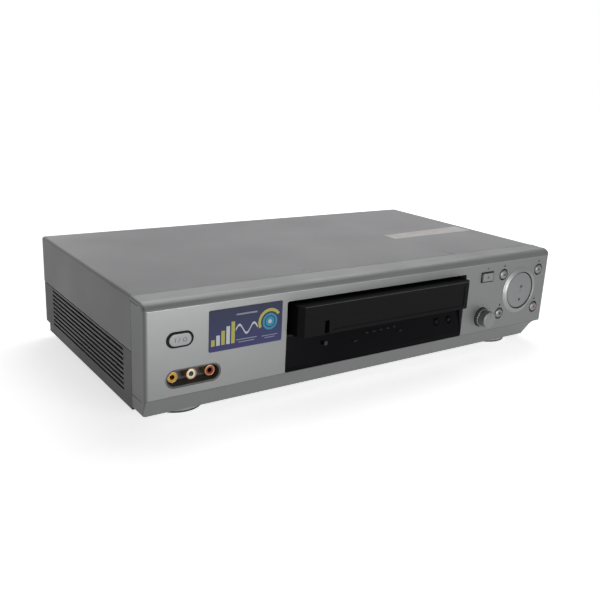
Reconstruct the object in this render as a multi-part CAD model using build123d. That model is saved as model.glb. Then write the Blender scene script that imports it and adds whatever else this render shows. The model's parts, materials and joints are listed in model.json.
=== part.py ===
from build123d import *
import math
import os

# A mains-powered VHS video cassette recorder with a cassette standing in its ejected place.
# Millimetres. X runs to the right as the user faces the front, Y runs to the back, Z is up.
# The origin is the middle of the footprint, on the surface that the feet stand on.
# Heights are from that surface. Depths named below are counted from the flat front face backwards.

# ---- Whole machine ------------------------------------------------------------------------
width = 430.0                 # across the cover
height = 96.0                 # feet included
body_depth = 233.0            # front face to the back of the cover
foot_height = 8.0
socket_reach = 10.0           # aerial sockets, behind the cover
seam = 0.3                    # open line between two shells that meet
seat_gap = 0.3                # room between a piece and what it slides or rests on
running_gap = 0.05            # radial room of a shaft in its bearing

# ---- Video cassette -----------------------------------------------------------------------
cassette_width = 187.0
cassette_depth = 102.4
cassette_height = 25.0
cassette_wall = 1.6
cassette_overhang = 12.0      # how far the ejected cassette stands out of the face
spine_chamfer = 4.0           # on the two upright corners of the spine
parting_height = 12.4         # the lower half's share of the height
reel_spacing = 92.0
reel_from_spine = 45.5
reel_flange_radius = 40.0
reel_flange = 1.0
hub_radius = 12.8
hub_hole_radius = 13.5
hub_socket_radius = 8.6
hub_teeth = 6
hub_tooth = 1.8
pack_radius_supply = 36.0     # wound tape on the left reel
pack_radius_takeup = 18.0
throat_width = 96.0           # hollow behind the lid where the machine's guides reach in
throat_depth = 15.0
lid_sheet = 1.6
lid_depth = 12.4              # pivot to the outside of the lid
lid_pin_radius = 0.8
label_recess = 0.5
spine_label_width = 147.0
spine_label_height = 19.0
spine_label_shift = 11.5      # the recess sits right of the middle
tab_notch_width = 4.4         # erase-protection tab, in the spine
tab_notch_height = 10.6
tab_notch_from_end = 23.5
reel_window_width = 50.0
reel_window_depth = 30.0
reel_window_sink = 0.8
reel_window_corner = 3.0
lid_ear = 3.0
hub_cap = 2.0
tape_headroom = 4.0           # between the wound tape and the roof
tab_notch_rise = 1.0
tab_notch_sink = 1.2
throat_wall = 1.6

# ---- Front bezel --------------------------------------------------------------------------
bezel_depth = 23.2
bezel_wall = 2.5
bezel_corner = 3.0            # upright front corners
chin_height = 23.2            # where the flat face turns into the sloping chin
chin_depth = 7.5
crown_height = 89.9           # where the flat face turns into the rounded top
crown_depth = 11.4
crown_fall = 0.6              # the crown ends this much below the cover
crown_bulge = 2.3
chin_round = 4.0              # lower left corner of the chin
notch_drop = 0.8              # notch at the chin's right end: its top, below the face
notch_width = 8.5             # straight part of its top
notch_round_width = 5.7       # rounding inside the notch
notch_round_height = 4.0
notch_lean = 3.4              # how much further in it reaches at the floor
flank_groove_height = 21.0    # fine line along the flanks
flank_groove = 0.5
flank_groove_front = 6.5
crown_groove = 0.5            # two fine lines that follow the crown on each flank
crown_groove_first = 0.6
crown_groove_second = 3.2

# ---- Cassette bay and display window ------------------------------------------------------
bay_to_eject = 20.5           # bay's right side to the eject key
bay_width = 196.4
bay_top = 82.4
bay_corner = 1.5
bay_return_wall = 1.5
bay_return_depth = 7.0        # depth of the bay's silver side walls
sill_top = 53.0
sill_thickness = 2.0
cheek_thickness = 2.8         # black side pieces of the slot
bay_frame_depth = 22.0
bay_flange = 2.0
bay_flange_reach = 3.0
window_fit = 0.2
window_thickness = 2.6
window_lip_height = 27.0      # upright lower lip of the window
window_set_back = 0.4
window_slope_depth = 5.0      # how deep the window's top edge lies
window_ledge = 9.5

# ---- Cassette flap ------------------------------------------------------------------------
flap_sheet = 1.6
flap_length = 26.4
flap_pin_radius = 1.0
flap_pin_depth = 5.0          # pivot behind the face
flap_pin_drop = 1.2           # pivot below the top of the bay
flap_front_edge = 1.4

# ---- Controls -----------------------------------------------------------------------------
key_travel = 1.2
key_radius = 4.8
key_hole_radius = 5.7
key_proud = 1.3               # how far a key stands out of the face
key_dome = 0.7
key_collar = 1.2
key_collar_reach = 0.9        # collar past the hole's edge, behind the wall
key_stem_radius = 1.5
eject_collar = 1.4            # the rectangular key's collar past its edge
upper_keys_z = 77.0
lower_keys_z = 38.4
right_keys_inset = 14.4       # from the machine's right side
keys_to_ring = 25.2           # middles of the small keys to the ring's
eject_to_keys = 22.4
eject_z = 77.0
eject_width = 15.2
eject_height = 8.8
eject_gap = 0.7
eject_corner = 1.0
ring_z = 58.8
ring_outer_radius = 23.0
ring_inner_radius = 18.6
ring_neck_radius = 20.0
ring_proud = 1.7
ring_rim = 0.7                # flat rim at the ring's highest line
ring_neck_depth = 3.5
disc_radius = 18.0
disc_proud = 0.8
disc_crown = 0.6
disc_collar_reach = 0.9
dial_to_keys = 24.2
dial_z = 38.0
dial_hole_radius = 9.6
dial_skirt_radius = 9.0
dial_skirt_length = 5.0
dial_cap_radius = 7.9
dial_reach = 11.0             # front of the dial before the face
dial_sunk = 1.4               # back edge of the dial behind the face
dial_flutes = 24
dial_flute_radius = 0.55
dial_shaft_radius = 3.0
dial_bore = 7.5               # depth of the dial's bore
dial_travel = 1.0
encoder_half = 6.0
encoder_body = 6.5
encoder_bush = 3.0
encoder_bush_radius = 4.5
encoder_end_room = 2.0        # behind the shaft's end
power_inset = 27.1            # from the machine's left side
power_z = 66.5
power_width = 17.9
power_height = 9.5
power_gap = 0.35
power_frame_width = 21.4
power_frame_height = 12.0
power_frame_proud = 0.8
power_neck = 0.75             # wall of the frame's neck
channel_z = 40.5
channel_inset = 14.7          # from the bay's right side
channel_pitch = 15.5
channel_radius = 3.2
channel_hole_radius = 3.6

# ---- Sound and picture sockets ------------------------------------------------------------
socket_radius = 4.15          # outside of a phono socket's metal shell
socket_neck = 3.9              # outside of the shell where it passes through a wall
socket_bore = 3.4
socket_pin_hole = 1.6
socket_length = 8.5
socket_flange_radius = 5.2
socket_flange = 1.0
recess_inset = 38.2           # from the machine's left side
recess_z = 36.5
recess_width = 44.9
recess_height = 14.4
recess_floor = 12.0
recess_wall = 1.2
recess_lip = 1.6
front_socket_pitch = 15.2
front_socket_set_back = 4.0
rear_socket_pitch = 15.0
rear_socket_inset = 143.0     # from the machine's right side
rear_socket_z = 36.0
rear_socket_columns = 20.0
socket_rows = 3
jack_block_margin = 7.5
tuner_half_width = 20.0
tuner_length = 40.0
tuner_height = 60.0
tuner_dimple = 5.0
aerial_inset = 53.0           # from the machine's right side
aerial_z = 36.0
aerial_pitch = 20.0
aerial_radius = 4.76
aerial_nut_radius = 6.0
inlet_inset = 37.0            # from the machine's left side
inlet_z = 44.0
inlet_width = 20.0
inlet_height = 11.0
inlet_mouth_width = 13.0
inlet_mouth_height = 7.0
inlet_mouth_depth = 12.0
inlet_flange = 1.5
inlet_pin_radius = 1.2
inlet_pin_spacing = 7.0
inlet_pin_length = 9.0
inlet_pin_root = 4.5
inlet_back = 6.0
inlet_flange_reach = 2.0
inlet_corner = 1.0

# ---- Housing ------------------------------------------------------------------------------
cover_sheet = 1.0
cover_bend = 2.5
skirt_height = 53.9           # lower edge of the cover's sides
cover_flange_drop = 12.0
frame_wall = 2.5
rail_thickness = 1.5
rail_rise = 8.0
rear_step = 11.0              # the bottom of the back is set forward by this
step_height = 15.4
vent_count = 9
vent_pitch = 3.93
vent_top = 50.3               # middle of the highest slot
vent_slot = 2.0
vent_front = 39.0
vent_back = 209.0
vent_ribs = 3
vent_rib = 2.0
panel_sheet = 2.0
foot_radius = 22.0
foot_taper = 1.2
foot_inset = 41.0             # from the machine's sides
foot_front = 38.0
foot_back = 192.0
screw_head_radius = 3.6
screw_head = 1.9
screw_radius = 1.45
screw_length = 7.0
screw_positions = 4
screw_inset = 35.0            # outer screws, from the machine's sides
tongue_reach = 9.0            # floor of the frame, under the bezel

# ---- Circuit boards -----------------------------------------------------------------------
board_sheet = 1.6
board_clearance = 3.5         # room under the main board
board_side_gap = 7.5
board_front = 28.0
board_back = 214.0
boss_radius = 3.5
front_board_depth = 17.0      # front face of the key board
socket_board_depth = 19.0
front_board_gap = 4.3         # key board, from the bay
front_board_inset = 8.0       # key board, from the machine's right side
front_board_low = 26.0
front_board_high = 87.0
key_boss_radius = 2.5
strip_board_high = 49.0
switch_body = 6.0
switch_height = 3.5
switch_nub = 0.9
switch_nub_radius = 1.75
boss_from_edge = 6.0
tube_height = 18.0
tube_half_width = 49.0
tube_front = 10.5
tube_tip_radius = 1.5
transformer_inset = 37.0      # from the machine's left side
transformer_depth = 158.0
core_width = 48.0
core_height = 40.0
core_stack = 18.0
core_limb = 8.0
core_middle_limb = 12.0
core_yoke = 9.0
winding_width = 28.0
winding_reach = 34.0
winding_height = 20.0
can_radius = 6.0
can_height = 23.0
can_groove_height = 3.0
can_groove = 0.8
can_pitch = 13.5
can_count = 4
can_inset = 19.0
can_depth = 120.0

# ---- Tape deck ----------------------------------------------------------------------------
deck_height = 28.5            # underside of the deck plate
deck_sheet = 1.5
deck_half_width = 106.0
deck_front = 34.0
deck_back = 212.0
deck_post_radius = 4.0
deck_post_inset = 7.0
holder_travel = 45.0          # from ejected to fully drawn in
holder_drop = 20.8            # then down onto the spindles, in the side plates' slots
holder_sheet = 1.0
holder_clearance = 0.5        # over the sill
holder_front = 24.0
holder_back = 91.0
holder_lip = 14.0
holder_lip_front = 33.0
holder_lid_room = 3.0
holder_side_gap = 0.4
holder_bar = 10.0             # floor strip across the holder's front
holder_ledge_room = 3.0       # between the side ledges and the reel tables
guide_pin_radius = 2.0
guide_pin_from_front = 26.0
guide_pin_spacing = 30.0
guide_pin_height = 66.0
guide_slot_room = 0.3
carriage_sheet = 1.5
carriage_gap = 0.7
carriage_front = 26.0
carriage_back = 146.0
carriage_top = 88.0
carriage_foot = 8.0
carriage_foot_half = 6.0
carriage_foot_front = 52.0    # middles of the side plates' feet
carriage_foot_back = 132.0
tie_front = 38.0
tie_back = 52.0
drum_radius = 31.0
drum_depth = 178.0
drum_tilt = 6.0               # degrees, leaning to the back
drum_base_height = 34.0
drum_lower = 14.0
drum_slit = 0.4
drum_upper = 12.6
drum_rotor = 2.5
drum_rotor_radius = 22.0
drum_column_radius = 20.0
drum_shaft_radius = 2.5
drum_heads = 4
spindle_table_radius = 17.0
spindle_table = 2.0
spindle_radius = 6.4
spindle_height = 12.0
spindle_splines = 3
spindle_spline_reach = 1.6
spindle_pin_radius = 1.5
spindle_pin_short = 2.0       # pin below the spindle's tip
spindle_roof = 1.5
spindle_cone = 2.0
spindle_tip_radius = 3.4
capstan_x = 42.0              # right of the bay's middle
capstan_depth = 126.0
capstan_radius = 1.5
capstan_top = 52.4
flywheel_radius = 24.0
flywheel_height = 20.0
flywheel_thickness = 6.0
flywheel_rim = 5.0
flywheel_dish = 1.5
bearing_radius = 4.0
bearing_rise = 4.4
bearing_over_flywheel = 1.0
stator_half = 28.0
stator_sheet = 1.6
stator_drop = 1.2
stator_post_radius = 2.0
pinch_pivot_x = 70.0
pinch_pivot_depth = 140.0
pinch_arm_length = 25.6
pinch_pressed_angle = 197.5   # roller against the capstan, degrees anticlockwise from +X
pinch_swing = 25.0            # how far the arm stands back from there at rest
pinch_roller_radius = 5.5
pinch_roller_low = 38.0
pinch_roller_high = 52.0
pinch_pin_radius = 1.5
pinch_pivot_radius = 2.5
pinch_arm_sheet = 2.0
pinch_arm_height = 35.0
pinch_arm_width = 8.0
pinch_bush_wall = 1.5
head_height = 18.0
head_thickness = 9.0
head_nose = 1.5
head_rise = 8.0               # underside of a head above the deck
head_foot_radius = 6.0
head_foot = 2.0
head_stem_radius = 3.0
erase_head_x = -46.0          # heads: from the drum's axis
erase_head_ahead = 24.0
erase_head_width = 13.0
control_head_x = 42.0
control_head_ahead = 18.0
control_head_width = 15.0
head_turn = 40.0
guide_places = ((-62, 38), (-36, 52), (20, 52), (64, 20))  # from the drum's axis: right, ahead
guide_height = 22.0
guide_radius = 2.5
guide_base_radius = 4.0
guide_base = 3.0
guide_flange_radius = 3.6
guide_flange = 1.0
guide_flange_rise = 7.0
track_length = 44.0           # slots in the deck for the loading guides
track_width = 7.0
track_turn = 70.0
track_x = 34.0
track_ahead = 30.0            # before the drum's axis
loading_motor_radius = 12.0
loading_motor_length = 34.0
loading_motor_rise = 2.0
loading_shaft_radius = 1.5
loading_shaft_length = 16.0
worm_radius = 3.0
worm_length = 10.0
worm_margin = 4.0
saddle_margin = 4.0
saddle_half = 9.0
saddle_drop = 6.0             # top of the saddle below the motor's axis

# ---- Places worked out from the sizes above -----------------------------------------------
front_y = cassette_overhang - (body_depth + cassette_overhang + socket_reach) / 2
half_width = width / 2
right_keys_x = half_width - right_keys_inset
ring_x = right_keys_x - keys_to_ring
left_keys_x = ring_x - keys_to_ring
eject_x = left_keys_x - eject_to_keys
dial_x = left_keys_x - dial_to_keys
bay_right = eject_x - eject_width / 2 - bay_to_eject
bay_left = bay_right - bay_width
bay_x = (bay_left + bay_right) / 2
channel_up_x = bay_right - channel_inset
channel_down_x = channel_up_x - channel_pitch
power_x = power_inset - half_width
recess_x = recess_inset - half_width
rear_socket_x = half_width - rear_socket_inset
aerial_x = half_width - aerial_inset
inlet_x = inlet_inset - half_width
transformer_x = transformer_inset - half_width
can_first_x = can_inset - half_width
foot_x = half_width - foot_inset
front_board_left = bay_right + front_board_gap
front_board_right = half_width - front_board_inset
screw_span = width - 2 * screw_inset
step_depth = body_depth - rear_step
frame_front = bezel_depth + seam
frame_back = body_depth - cover_sheet
frame_top = skirt_height - 2 * seam
frame_floor = foot_height + frame_wall
shelf_top = step_height + frame_wall
panel_front = frame_back - panel_sheet
panel_half = half_width - cover_sheet - 2 * cover_bend / 2 + seam
panel_top = height - cover_sheet - seam
board_low = frame_floor + board_clearance
board_top = board_low + board_sheet
bay_bottom = chin_height
cheek_inner = bay_width / 2 - window_fit - cheek_thickness
deck_top = deck_height + deck_sheet
cassette_low = sill_top + holder_clearance + holder_sheet + seat_gap
cassette_high = cassette_low + cassette_height
spine = -cassette_overhang
cassette_back = spine + cassette_depth
parting = cassette_low + parting_height
reel_depth = spine + reel_from_spine
lid_pin_depth = cassette_back - lid_depth
lid_pin_z = cassette_high - lid_sheet * 3 / 4
holder_low = cassette_low - seat_gap - holder_sheet
holder_half = cassette_width / 2 + holder_side_gap + holder_sheet
carriage_inner = holder_half + carriage_gap
flap_pin_z = bay_top - flap_pin_drop
capstan_at = bay_x + capstan_x
spindle_depth = reel_depth + holder_travel
key_back = front_board_depth - switch_height - switch_nub - key_travel - seat_gap
power_back = socket_board_depth - switch_height - switch_nub - key_travel - seat_gap
key_places = {
    "rewind_button": (left_keys_x, upper_keys_z),
    "forward_button": (right_keys_x, upper_keys_z),
    "stop_button": (left_keys_x, lower_keys_z),
    "record_button": (right_keys_x, lower_keys_z),
}
channel_places = {
    "channel_down_button": (channel_down_x, channel_z),
    "channel_up_button": (channel_up_x, channel_z),
}


# ---- Drawing helpers ----------------------------------------------------------------------
def block(x0, x1, y0, y1, z0, z1):
    """Box between two corners, its y values counted from the front face backwards."""
    middle = Pos((x0 + x1) / 2, front_y + (y0 + y1) / 2, (z0 + z1) / 2)
    return middle * Box(x1 - x0, y1 - y0, z1 - z0)


def from_front(outline, x, z, y0, y1):
    """Front-view outline centred on (x, z), solid from y0 to y1 behind the face."""
    plane = Plane(origin=(0, front_y + y1, 0), x_dir=(1, 0, 0), z_dir=(0, -1, 0))
    return extrude(plane * Pos(x, z) * outline, amount=y1 - y0, dir=(0, -1, 0))


def from_side(outline, x0, x1):
    """Side-view outline, drawn as (depth behind the face, height), solid from x0 to x1."""
    plane = Plane(origin=(x0, front_y, 0), x_dir=(0, 1, 0), z_dir=(1, 0, 0))
    return extrude(plane * outline, amount=x1 - x0, dir=(1, 0, 0))


def from_above(outline, x, y, z0, z1):
    """Top-view outline centred on (x, y behind the face), solid from z0 to z1."""
    return extrude(Pos(x, front_y + y, z0) * outline, amount=z1 - z0, dir=(0, 0, 1))


def rod(x, y, z0, z1, radius):
    """Upright round rod."""
    return from_above(Circle(radius), x, y, z0, z1)


def pin(x, z, y0, y1, radius):
    """Round rod that points at the user."""
    return from_front(Circle(radius), x, z, y0, y1)


def turned_front(points, x, z):
    """Turned piece on an axis that points at the user, from (radius, depth) points."""
    return Pos(x, front_y, z) * revolve(Polygon(*points, align=None), Axis.Y)


def turned_upright(points, x, y):
    """Turned piece on an upright axis, from (radius, height) points."""
    return Pos(x, front_y + y, 0) * revolve(Plane.XZ * Polygon(*points, align=None), Axis.Z)


def corner_shifts(run, rise, inset):
    """How far the two ends of a bevel move when its outline is drawn in by inset."""
    slope = math.atan2(rise, run)
    return inset * math.tan((math.pi / 2 - slope) / 2), inset * math.tan(slope / 2)


def save(name, shape):
    """One STEP file for each piece."""
    export_step(shape, f"parts/{name}.step")


# ---- Front bezel --------------------------------------------------------------------------
def bezel_side_outline(inset, back):
    """Side view: floor, sloping chin, flat face, rounded crown, top."""
    up, along = corner_shifts(chin_depth, chin_height - foot_height, inset)
    floor_back = (back, foot_height + inset)
    floor_front = (chin_depth + along, foot_height + inset)
    face_low = (inset, chin_height + up)
    face_high = (inset, crown_height)
    crown_end = (crown_depth, height - crown_fall - inset)
    top_back = (back, height - inset)
    run = crown_end[0] - face_high[0]
    rise = crown_end[1] - face_high[1]
    chord = math.hypot(run, rise)
    crown_middle = (
        face_high[0] + run / 2 - crown_bulge * rise / chord,
        face_high[1] + rise / 2 + crown_bulge * run / chord,
    )
    lower = Polyline(floor_back, floor_front, face_low, face_high)
    crown = ThreePointArc(face_high, crown_middle, crown_end)
    upper = Polyline(crown_end, top_back, floor_back)
    return make_face(lower + crown + upper)


def bezel_front_outline(inset):
    """Front view: lower left corner rounded, and a notch under the face at the right."""
    notch_top = (half_width, chin_height - notch_drop)
    bend_start = (half_width - notch_width, notch_top[1])
    bend_end = (bend_start[0] - notch_round_width, notch_top[1] - notch_round_height)
    notch_foot = (bend_end[0] - notch_lean, foot_height)
    shoulder = Line(notch_top, bend_start)
    bend = TangentArc(bend_start, bend_end, tangent=(-1, 0))
    end = Line(bend_end, notch_foot)
    floor = Line(notch_foot, (chin_round - half_width, foot_height))
    corner = TangentArc((chin_round - half_width, foot_height), (-half_width, foot_height + chin_round),
                        tangent=(-1, 0))
    rest = Polyline((-half_width, foot_height + chin_round), (-half_width, height + inset),
                    (half_width, height + inset), notch_top)
    outline = make_face(shoulder + bend + end + floor + corner + rest)
    return offset(outline, -inset) if inset else outline


def flank_grooves():
    """Fine line along each flank, above the lower band."""
    low = flank_groove_height - flank_groove
    return [
        block(*sorted((side * (half_width - flank_groove), side * (half_width + 1))),
              flank_groove_front, bezel_depth + 1, low, flank_groove_height)
        for side in (-1, 1)
    ]


def bezel_shell():
    """Hollow moulding, open at the back."""
    outside = from_side(bezel_side_outline(0, bezel_depth), -half_width, half_width)
    outside = outside & from_front(bezel_front_outline(0), 0, 0, 0, bezel_depth)
    plan = block(-half_width, half_width, 0, bezel_depth, foot_height, height)
    plan = fillet(plan.edges().filter_by(Axis.Z).group_by(Axis.Y)[0], bezel_corner)
    inner_half = half_width - bezel_wall
    hollow = from_side(bezel_side_outline(bezel_wall, bezel_depth + 1), -inner_half, inner_half)
    hollow = hollow & from_front(bezel_front_outline(bezel_wall), 0, 0, 0, bezel_depth + 1)
    return (outside & plan) - hollow


def crown_grooves():
    """Two fine lines that follow the crown on each flank."""
    above = Polygon(
        (-1, crown_height), (bezel_depth + 1, crown_height), (bezel_depth + 1, height), (-1, height),
        align=None,
    )
    cuts = []
    for reach in (crown_groove_first, crown_groove_second):
        ring = bezel_side_outline(reach, bezel_depth + 1)
        ring = (ring - bezel_side_outline(reach + crown_groove, bezel_depth + 1)) & above
        for side in (-1, 1):
            edges = sorted((side * (half_width - crown_groove), side * (half_width + 1)))
            cuts.append(from_side(ring, *edges))
    return cuts


def bay_outline(grow):
    """Front view of the cassette bay's opening, drawn out by grow."""
    return RectangleRounded(bay_width + 2 * grow, bay_top - bay_bottom + 2 * grow, bay_corner + grow)


def key_board_bosses():
    """Places of the three bosses that carry the key board, in front view."""
    return (
        (front_board_left + 2 * boss_radius, ring_z),
        (front_board_right - boss_radius, ring_z),
        ((left_keys_x + ring_x) / 2, front_board_low + boss_radius),
    )


def front_bezel():
    """Moulded front with the bay, the key holes and the returns round the bay."""
    bezel = bezel_shell()
    bay_middle = (bay_bottom + bay_top) / 2
    returns = bay_outline(bay_return_wall)
    bezel = bezel + from_front(returns, bay_x, bay_middle, bezel_wall / 2, bay_return_depth)
    for x, z in key_board_bosses():
        bezel = bezel + pin(x, z, bezel_wall / 2, front_board_depth, key_boss_radius)
    cuts = [from_front(bay_outline(0), bay_x, bay_middle, -1, bay_return_depth + 1)]
    for x, z in key_places.values():
        cuts.append(pin(x, z, -1, bezel_wall + 1, key_hole_radius))
    cuts.append(pin(ring_x, ring_z, -1, bezel_wall + 1, ring_neck_radius + running_gap))
    cuts.append(pin(dial_x, dial_z, -1, bezel_wall + 1, dial_hole_radius))
    eject_hole = Rectangle(eject_width + 2 * eject_gap, eject_height + 2 * eject_gap)
    cuts.append(from_front(eject_hole, eject_x, eject_z, -1, bezel_wall + 1))
    neck = SlotOverall(power_neck_width() + 2 * running_gap, power_neck_height() + 2 * running_gap)
    cuts.append(from_front(neck, power_x, power_z, -1, bezel_wall + 1))
    recess = SlotOverall(recess_width, recess_height)
    cuts.append(from_front(recess, recess_x, recess_z, -1, bezel_wall + 1))
    return bezel - cuts - flank_grooves() - crown_grooves()


# ---- Bay parts ----------------------------------------------------------------------------
def bay_frame():
    """Black surround of the slot: sill, two cheeks with the flap's pivot holes, rear flange."""
    half = bay_width / 2 - window_fit
    frame_low = sill_top - sill_thickness
    bay_middle = (bay_bottom + bay_top) / 2
    solid = from_front(bay_outline(-window_fit), bay_x, bay_middle, window_slope_depth, bay_frame_depth)
    solid = solid - block(bay_left, bay_right, 0, bay_frame_depth + 1, 0, frame_low)
    flange_half = bay_width / 2 + bay_flange_reach
    flange = block(
        bay_x - flange_half, bay_x + flange_half, bay_return_depth, bay_return_depth + bay_flange,
        frame_low, bay_top + bay_flange_reach,
    )
    slot = block(bay_x - cheek_inner, bay_x + cheek_inner, 0, bay_frame_depth + 1, sill_top, height)
    pivot = from_side(Circle(flap_pin_radius + running_gap), bay_x - half - 1, bay_x + half + 1)
    pivot = Pos(0, flap_pin_depth + bay_flange, flap_pin_z) * pivot
    return solid + flange - slot - pivot


def display_window():
    """Dark clear moulding: upright lip, sloping pane, ledge under the sill."""
    top = sill_top - sill_thickness - window_fit
    low = bay_bottom + window_fit
    outline = Polygon(
        (window_set_back, low),
        (window_set_back, window_lip_height),
        (window_slope_depth, top),
        (window_ledge, top),
        (window_ledge, top - window_thickness),
        (window_slope_depth + window_thickness, top - window_thickness),
        (window_set_back + window_thickness, window_lip_height),
        (window_set_back + window_thickness, low),
        align=None,
    )
    half = bay_width / 2 - window_fit
    bay_middle = (bay_bottom + bay_top) / 2
    pane = from_side(outline, bay_x - half, bay_x + half)
    pane = pane & from_front(bay_outline(-window_fit), bay_x, bay_middle, 0, window_ledge)
    for x, z in channel_places.values():
        pane = pane - pin(x, z, -1, window_ledge + 1, channel_hole_radius)
    return pane


def cassette_flap():
    """Door of the slot, swung in and lying just above the cassette."""
    middle = flap_pin_depth + bay_flange
    front = middle - flap_front_edge
    half = cheek_inner - seat_gap
    leaf = block(bay_x - half, bay_x + half, front, front + flap_length,
                 flap_pin_z - flap_sheet / 2, flap_pin_z + flap_sheet / 2)
    reach = half + cheek_thickness / 2
    barrel = from_side(Circle(flap_pin_radius), bay_x - reach, bay_x + reach)
    return leaf + Pos(0, middle, flap_pin_z) * barrel


# ---- Keys ---------------------------------------------------------------------------------
def domed_edge(radius, proud):
    """Half section of a dome that stands proud of the face on its axis and meets it at radius."""
    ball = (radius ** 2 + proud ** 2) / (2 * proud)
    middle = radius / 2
    sag = ball - proud - math.sqrt(ball ** 2 - middle ** 2)
    return ThreePointArc((0, -proud), (middle, sag), (radius, 0))


def round_key(x, z):
    """Domed key with a collar behind the wall and a stem to its switch."""
    collar_front = bezel_wall + running_gap
    collar = key_hole_radius + key_collar_reach
    dome = domed_edge(key_radius, key_proud)
    sides = Polyline(
        (key_radius, 0), (key_radius, collar_front), (collar, collar_front),
        (collar, collar_front + key_collar),
        (key_stem_radius, collar_front + key_collar), (key_stem_radius, key_back), (0, key_back),
        (0, -key_proud),
    )
    return Pos(x, front_y, z) * revolve(make_face(dome + sides), Axis.Y)


def channel_key(x, z):
    """Small flush key in the window."""
    share = (z - window_lip_height) / (sill_top - sill_thickness - window_fit - window_lip_height)
    surface = window_set_back + (window_slope_depth - window_set_back) * share
    points = (
        (0, surface - key_dome), (channel_radius - key_dome, surface - key_dome),
        (channel_radius, surface), (channel_radius, window_ledge - seat_gap),
        (key_stem_radius, window_ledge - seat_gap), (key_stem_radius, key_back), (0, key_back),
    )
    return turned_front(points, x, z)


def eject_button():
    """Rectangular key with softened front edges."""
    outline = RectangleRounded(eject_width, eject_height, eject_corner)
    cap = from_front(outline, eject_x, eject_z, -key_proud, bezel_wall + running_gap)
    cap = fillet(cap.faces().sort_by(Axis.Y)[0].edges(), key_dome)
    collar_outline = Rectangle(eject_width + 2 * eject_collar, eject_height + 2 * eject_collar)
    collar_front = bezel_wall + running_gap
    collar = from_front(collar_outline, eject_x, eject_z, collar_front, collar_front + key_collar)
    stem = pin(eject_x, eject_z, collar_front + key_collar, key_back, key_stem_radius)
    return cap + collar + stem


def power_neck_width():
    """Outside width of the power frame's neck."""
    return power_width + 2 * (power_gap + power_neck)


def power_neck_height():
    """Outside height of the power frame's neck."""
    return power_height + 2 * (power_gap + power_neck)


def power_surround():
    """Black frame that stands proud of the face, with a neck through the wall."""
    lip_outline = SlotOverall(power_frame_width, power_frame_height)
    lip = from_front(lip_outline, power_x, power_z, -power_frame_proud, 0)
    lip = chamfer(lip.faces().sort_by(Axis.Y)[0].edges(), power_frame_proud / 2)
    neck = from_front(SlotOverall(power_neck_width(), power_neck_height()), power_x, power_z, 0, bezel_wall)
    mouth = SlotOverall(power_width + 2 * power_gap, power_height + 2 * power_gap)
    return lip + neck - from_front(mouth, power_x, power_z, -power_frame_proud - 1, bezel_wall + 1)


def power_button():
    """Racetrack-shaped key."""
    collar_front = bezel_wall + running_gap
    cap = from_front(SlotOverall(power_width, power_height), power_x, power_z, -key_proud, collar_front)
    cap = fillet(cap.faces().sort_by(Axis.Y)[0].edges(), key_dome)
    collar_outline = SlotOverall(power_neck_width(), power_neck_height())
    collar = from_front(collar_outline, power_x, power_z, collar_front, collar_front + key_collar)
    stem = pin(power_x, power_z, collar_front + key_collar, power_back, key_stem_radius)
    return cap + collar + stem


def play_ring():
    """Silver ring whose broad face slopes in towards the disc."""
    points = (
        (ring_outer_radius, 0), (ring_outer_radius - ring_rim, -ring_proud),
        (ring_outer_radius - 2 * ring_rim, -ring_proud), (ring_inner_radius, disc_proud),
        (ring_inner_radius, ring_neck_depth), (ring_neck_radius, ring_neck_depth), (ring_neck_radius, 0),
    )
    return turned_front(points, ring_x, ring_z)


def play_disc():
    """Large round key in the ring, with a collar behind it."""
    collar_front = ring_neck_depth + running_gap
    collar = ring_inner_radius + disc_collar_reach
    dome = domed_edge(disc_radius, disc_crown)
    collar_back = collar_front + disc_proud + key_collar
    sides = Polyline(
        (disc_radius, 0), (disc_radius, collar_front + disc_proud), (collar, collar_front + disc_proud),
        (collar, collar_back), (key_stem_radius, collar_back),
        (key_stem_radius, key_back + disc_proud), (0, key_back + disc_proud), (0, -disc_crown),
    )
    return Pos(ring_x, front_y - disc_proud, ring_z) * revolve(make_face(dome + sides), Axis.Y)


def timer_knob():
    """Turning dial: fluted skirt, dark step, smooth cap."""
    shaft_hole = dial_shaft_radius + running_gap
    skirt_front = dial_sunk - dial_skirt_length
    hole_end = dial_sunk - dial_bore
    edge = key_dome
    points = (
        (shaft_hole, dial_sunk), (dial_skirt_radius, dial_sunk),
        (dial_skirt_radius, skirt_front + edge), (dial_skirt_radius - edge, skirt_front),
        (dial_cap_radius - edge, skirt_front), (dial_cap_radius - edge, skirt_front - edge),
        (dial_cap_radius, skirt_front - edge), (dial_cap_radius, -dial_reach + edge),
        (dial_cap_radius - edge, -dial_reach), (0, -dial_reach), (0, hole_end), (shaft_hole, hole_end),
    )
    knob = turned_front(points, dial_x, dial_z)
    groove = Circle(dial_flute_radius)
    flutes = [
        from_front(Rot(0, 0, turn * 360 / dial_flutes) * Pos(dial_skirt_radius, 0) * groove,
                   dial_x, dial_z, skirt_front - seam / 2, dial_sunk + 1)
        for turn in range(dial_flutes)
    ]
    return knob - flutes


def timer_plunger():
    """Shaft that the dial turns on and pushes in."""
    shaft_front = dial_sunk - dial_bore + seat_gap
    shaft_back = front_board_depth - encoder_end_room
    return pin(dial_x, dial_z, shaft_front, shaft_back, dial_shaft_radius)


def timer_encoder():
    """Square switch body with a round bush for the dial's shaft."""
    body_front = front_board_depth - encoder_body
    outline = Rectangle(2 * encoder_half, 2 * encoder_half)
    body = from_front(outline, dial_x, dial_z, body_front, front_board_depth)
    bush = pin(dial_x, dial_z, body_front - encoder_bush, body_front, encoder_bush_radius)
    bore_end = front_board_depth - encoder_end_room + dial_travel + seat_gap
    bore = pin(dial_x, dial_z, 0, bore_end, dial_shaft_radius + running_gap)
    return body + bush - bore


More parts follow.
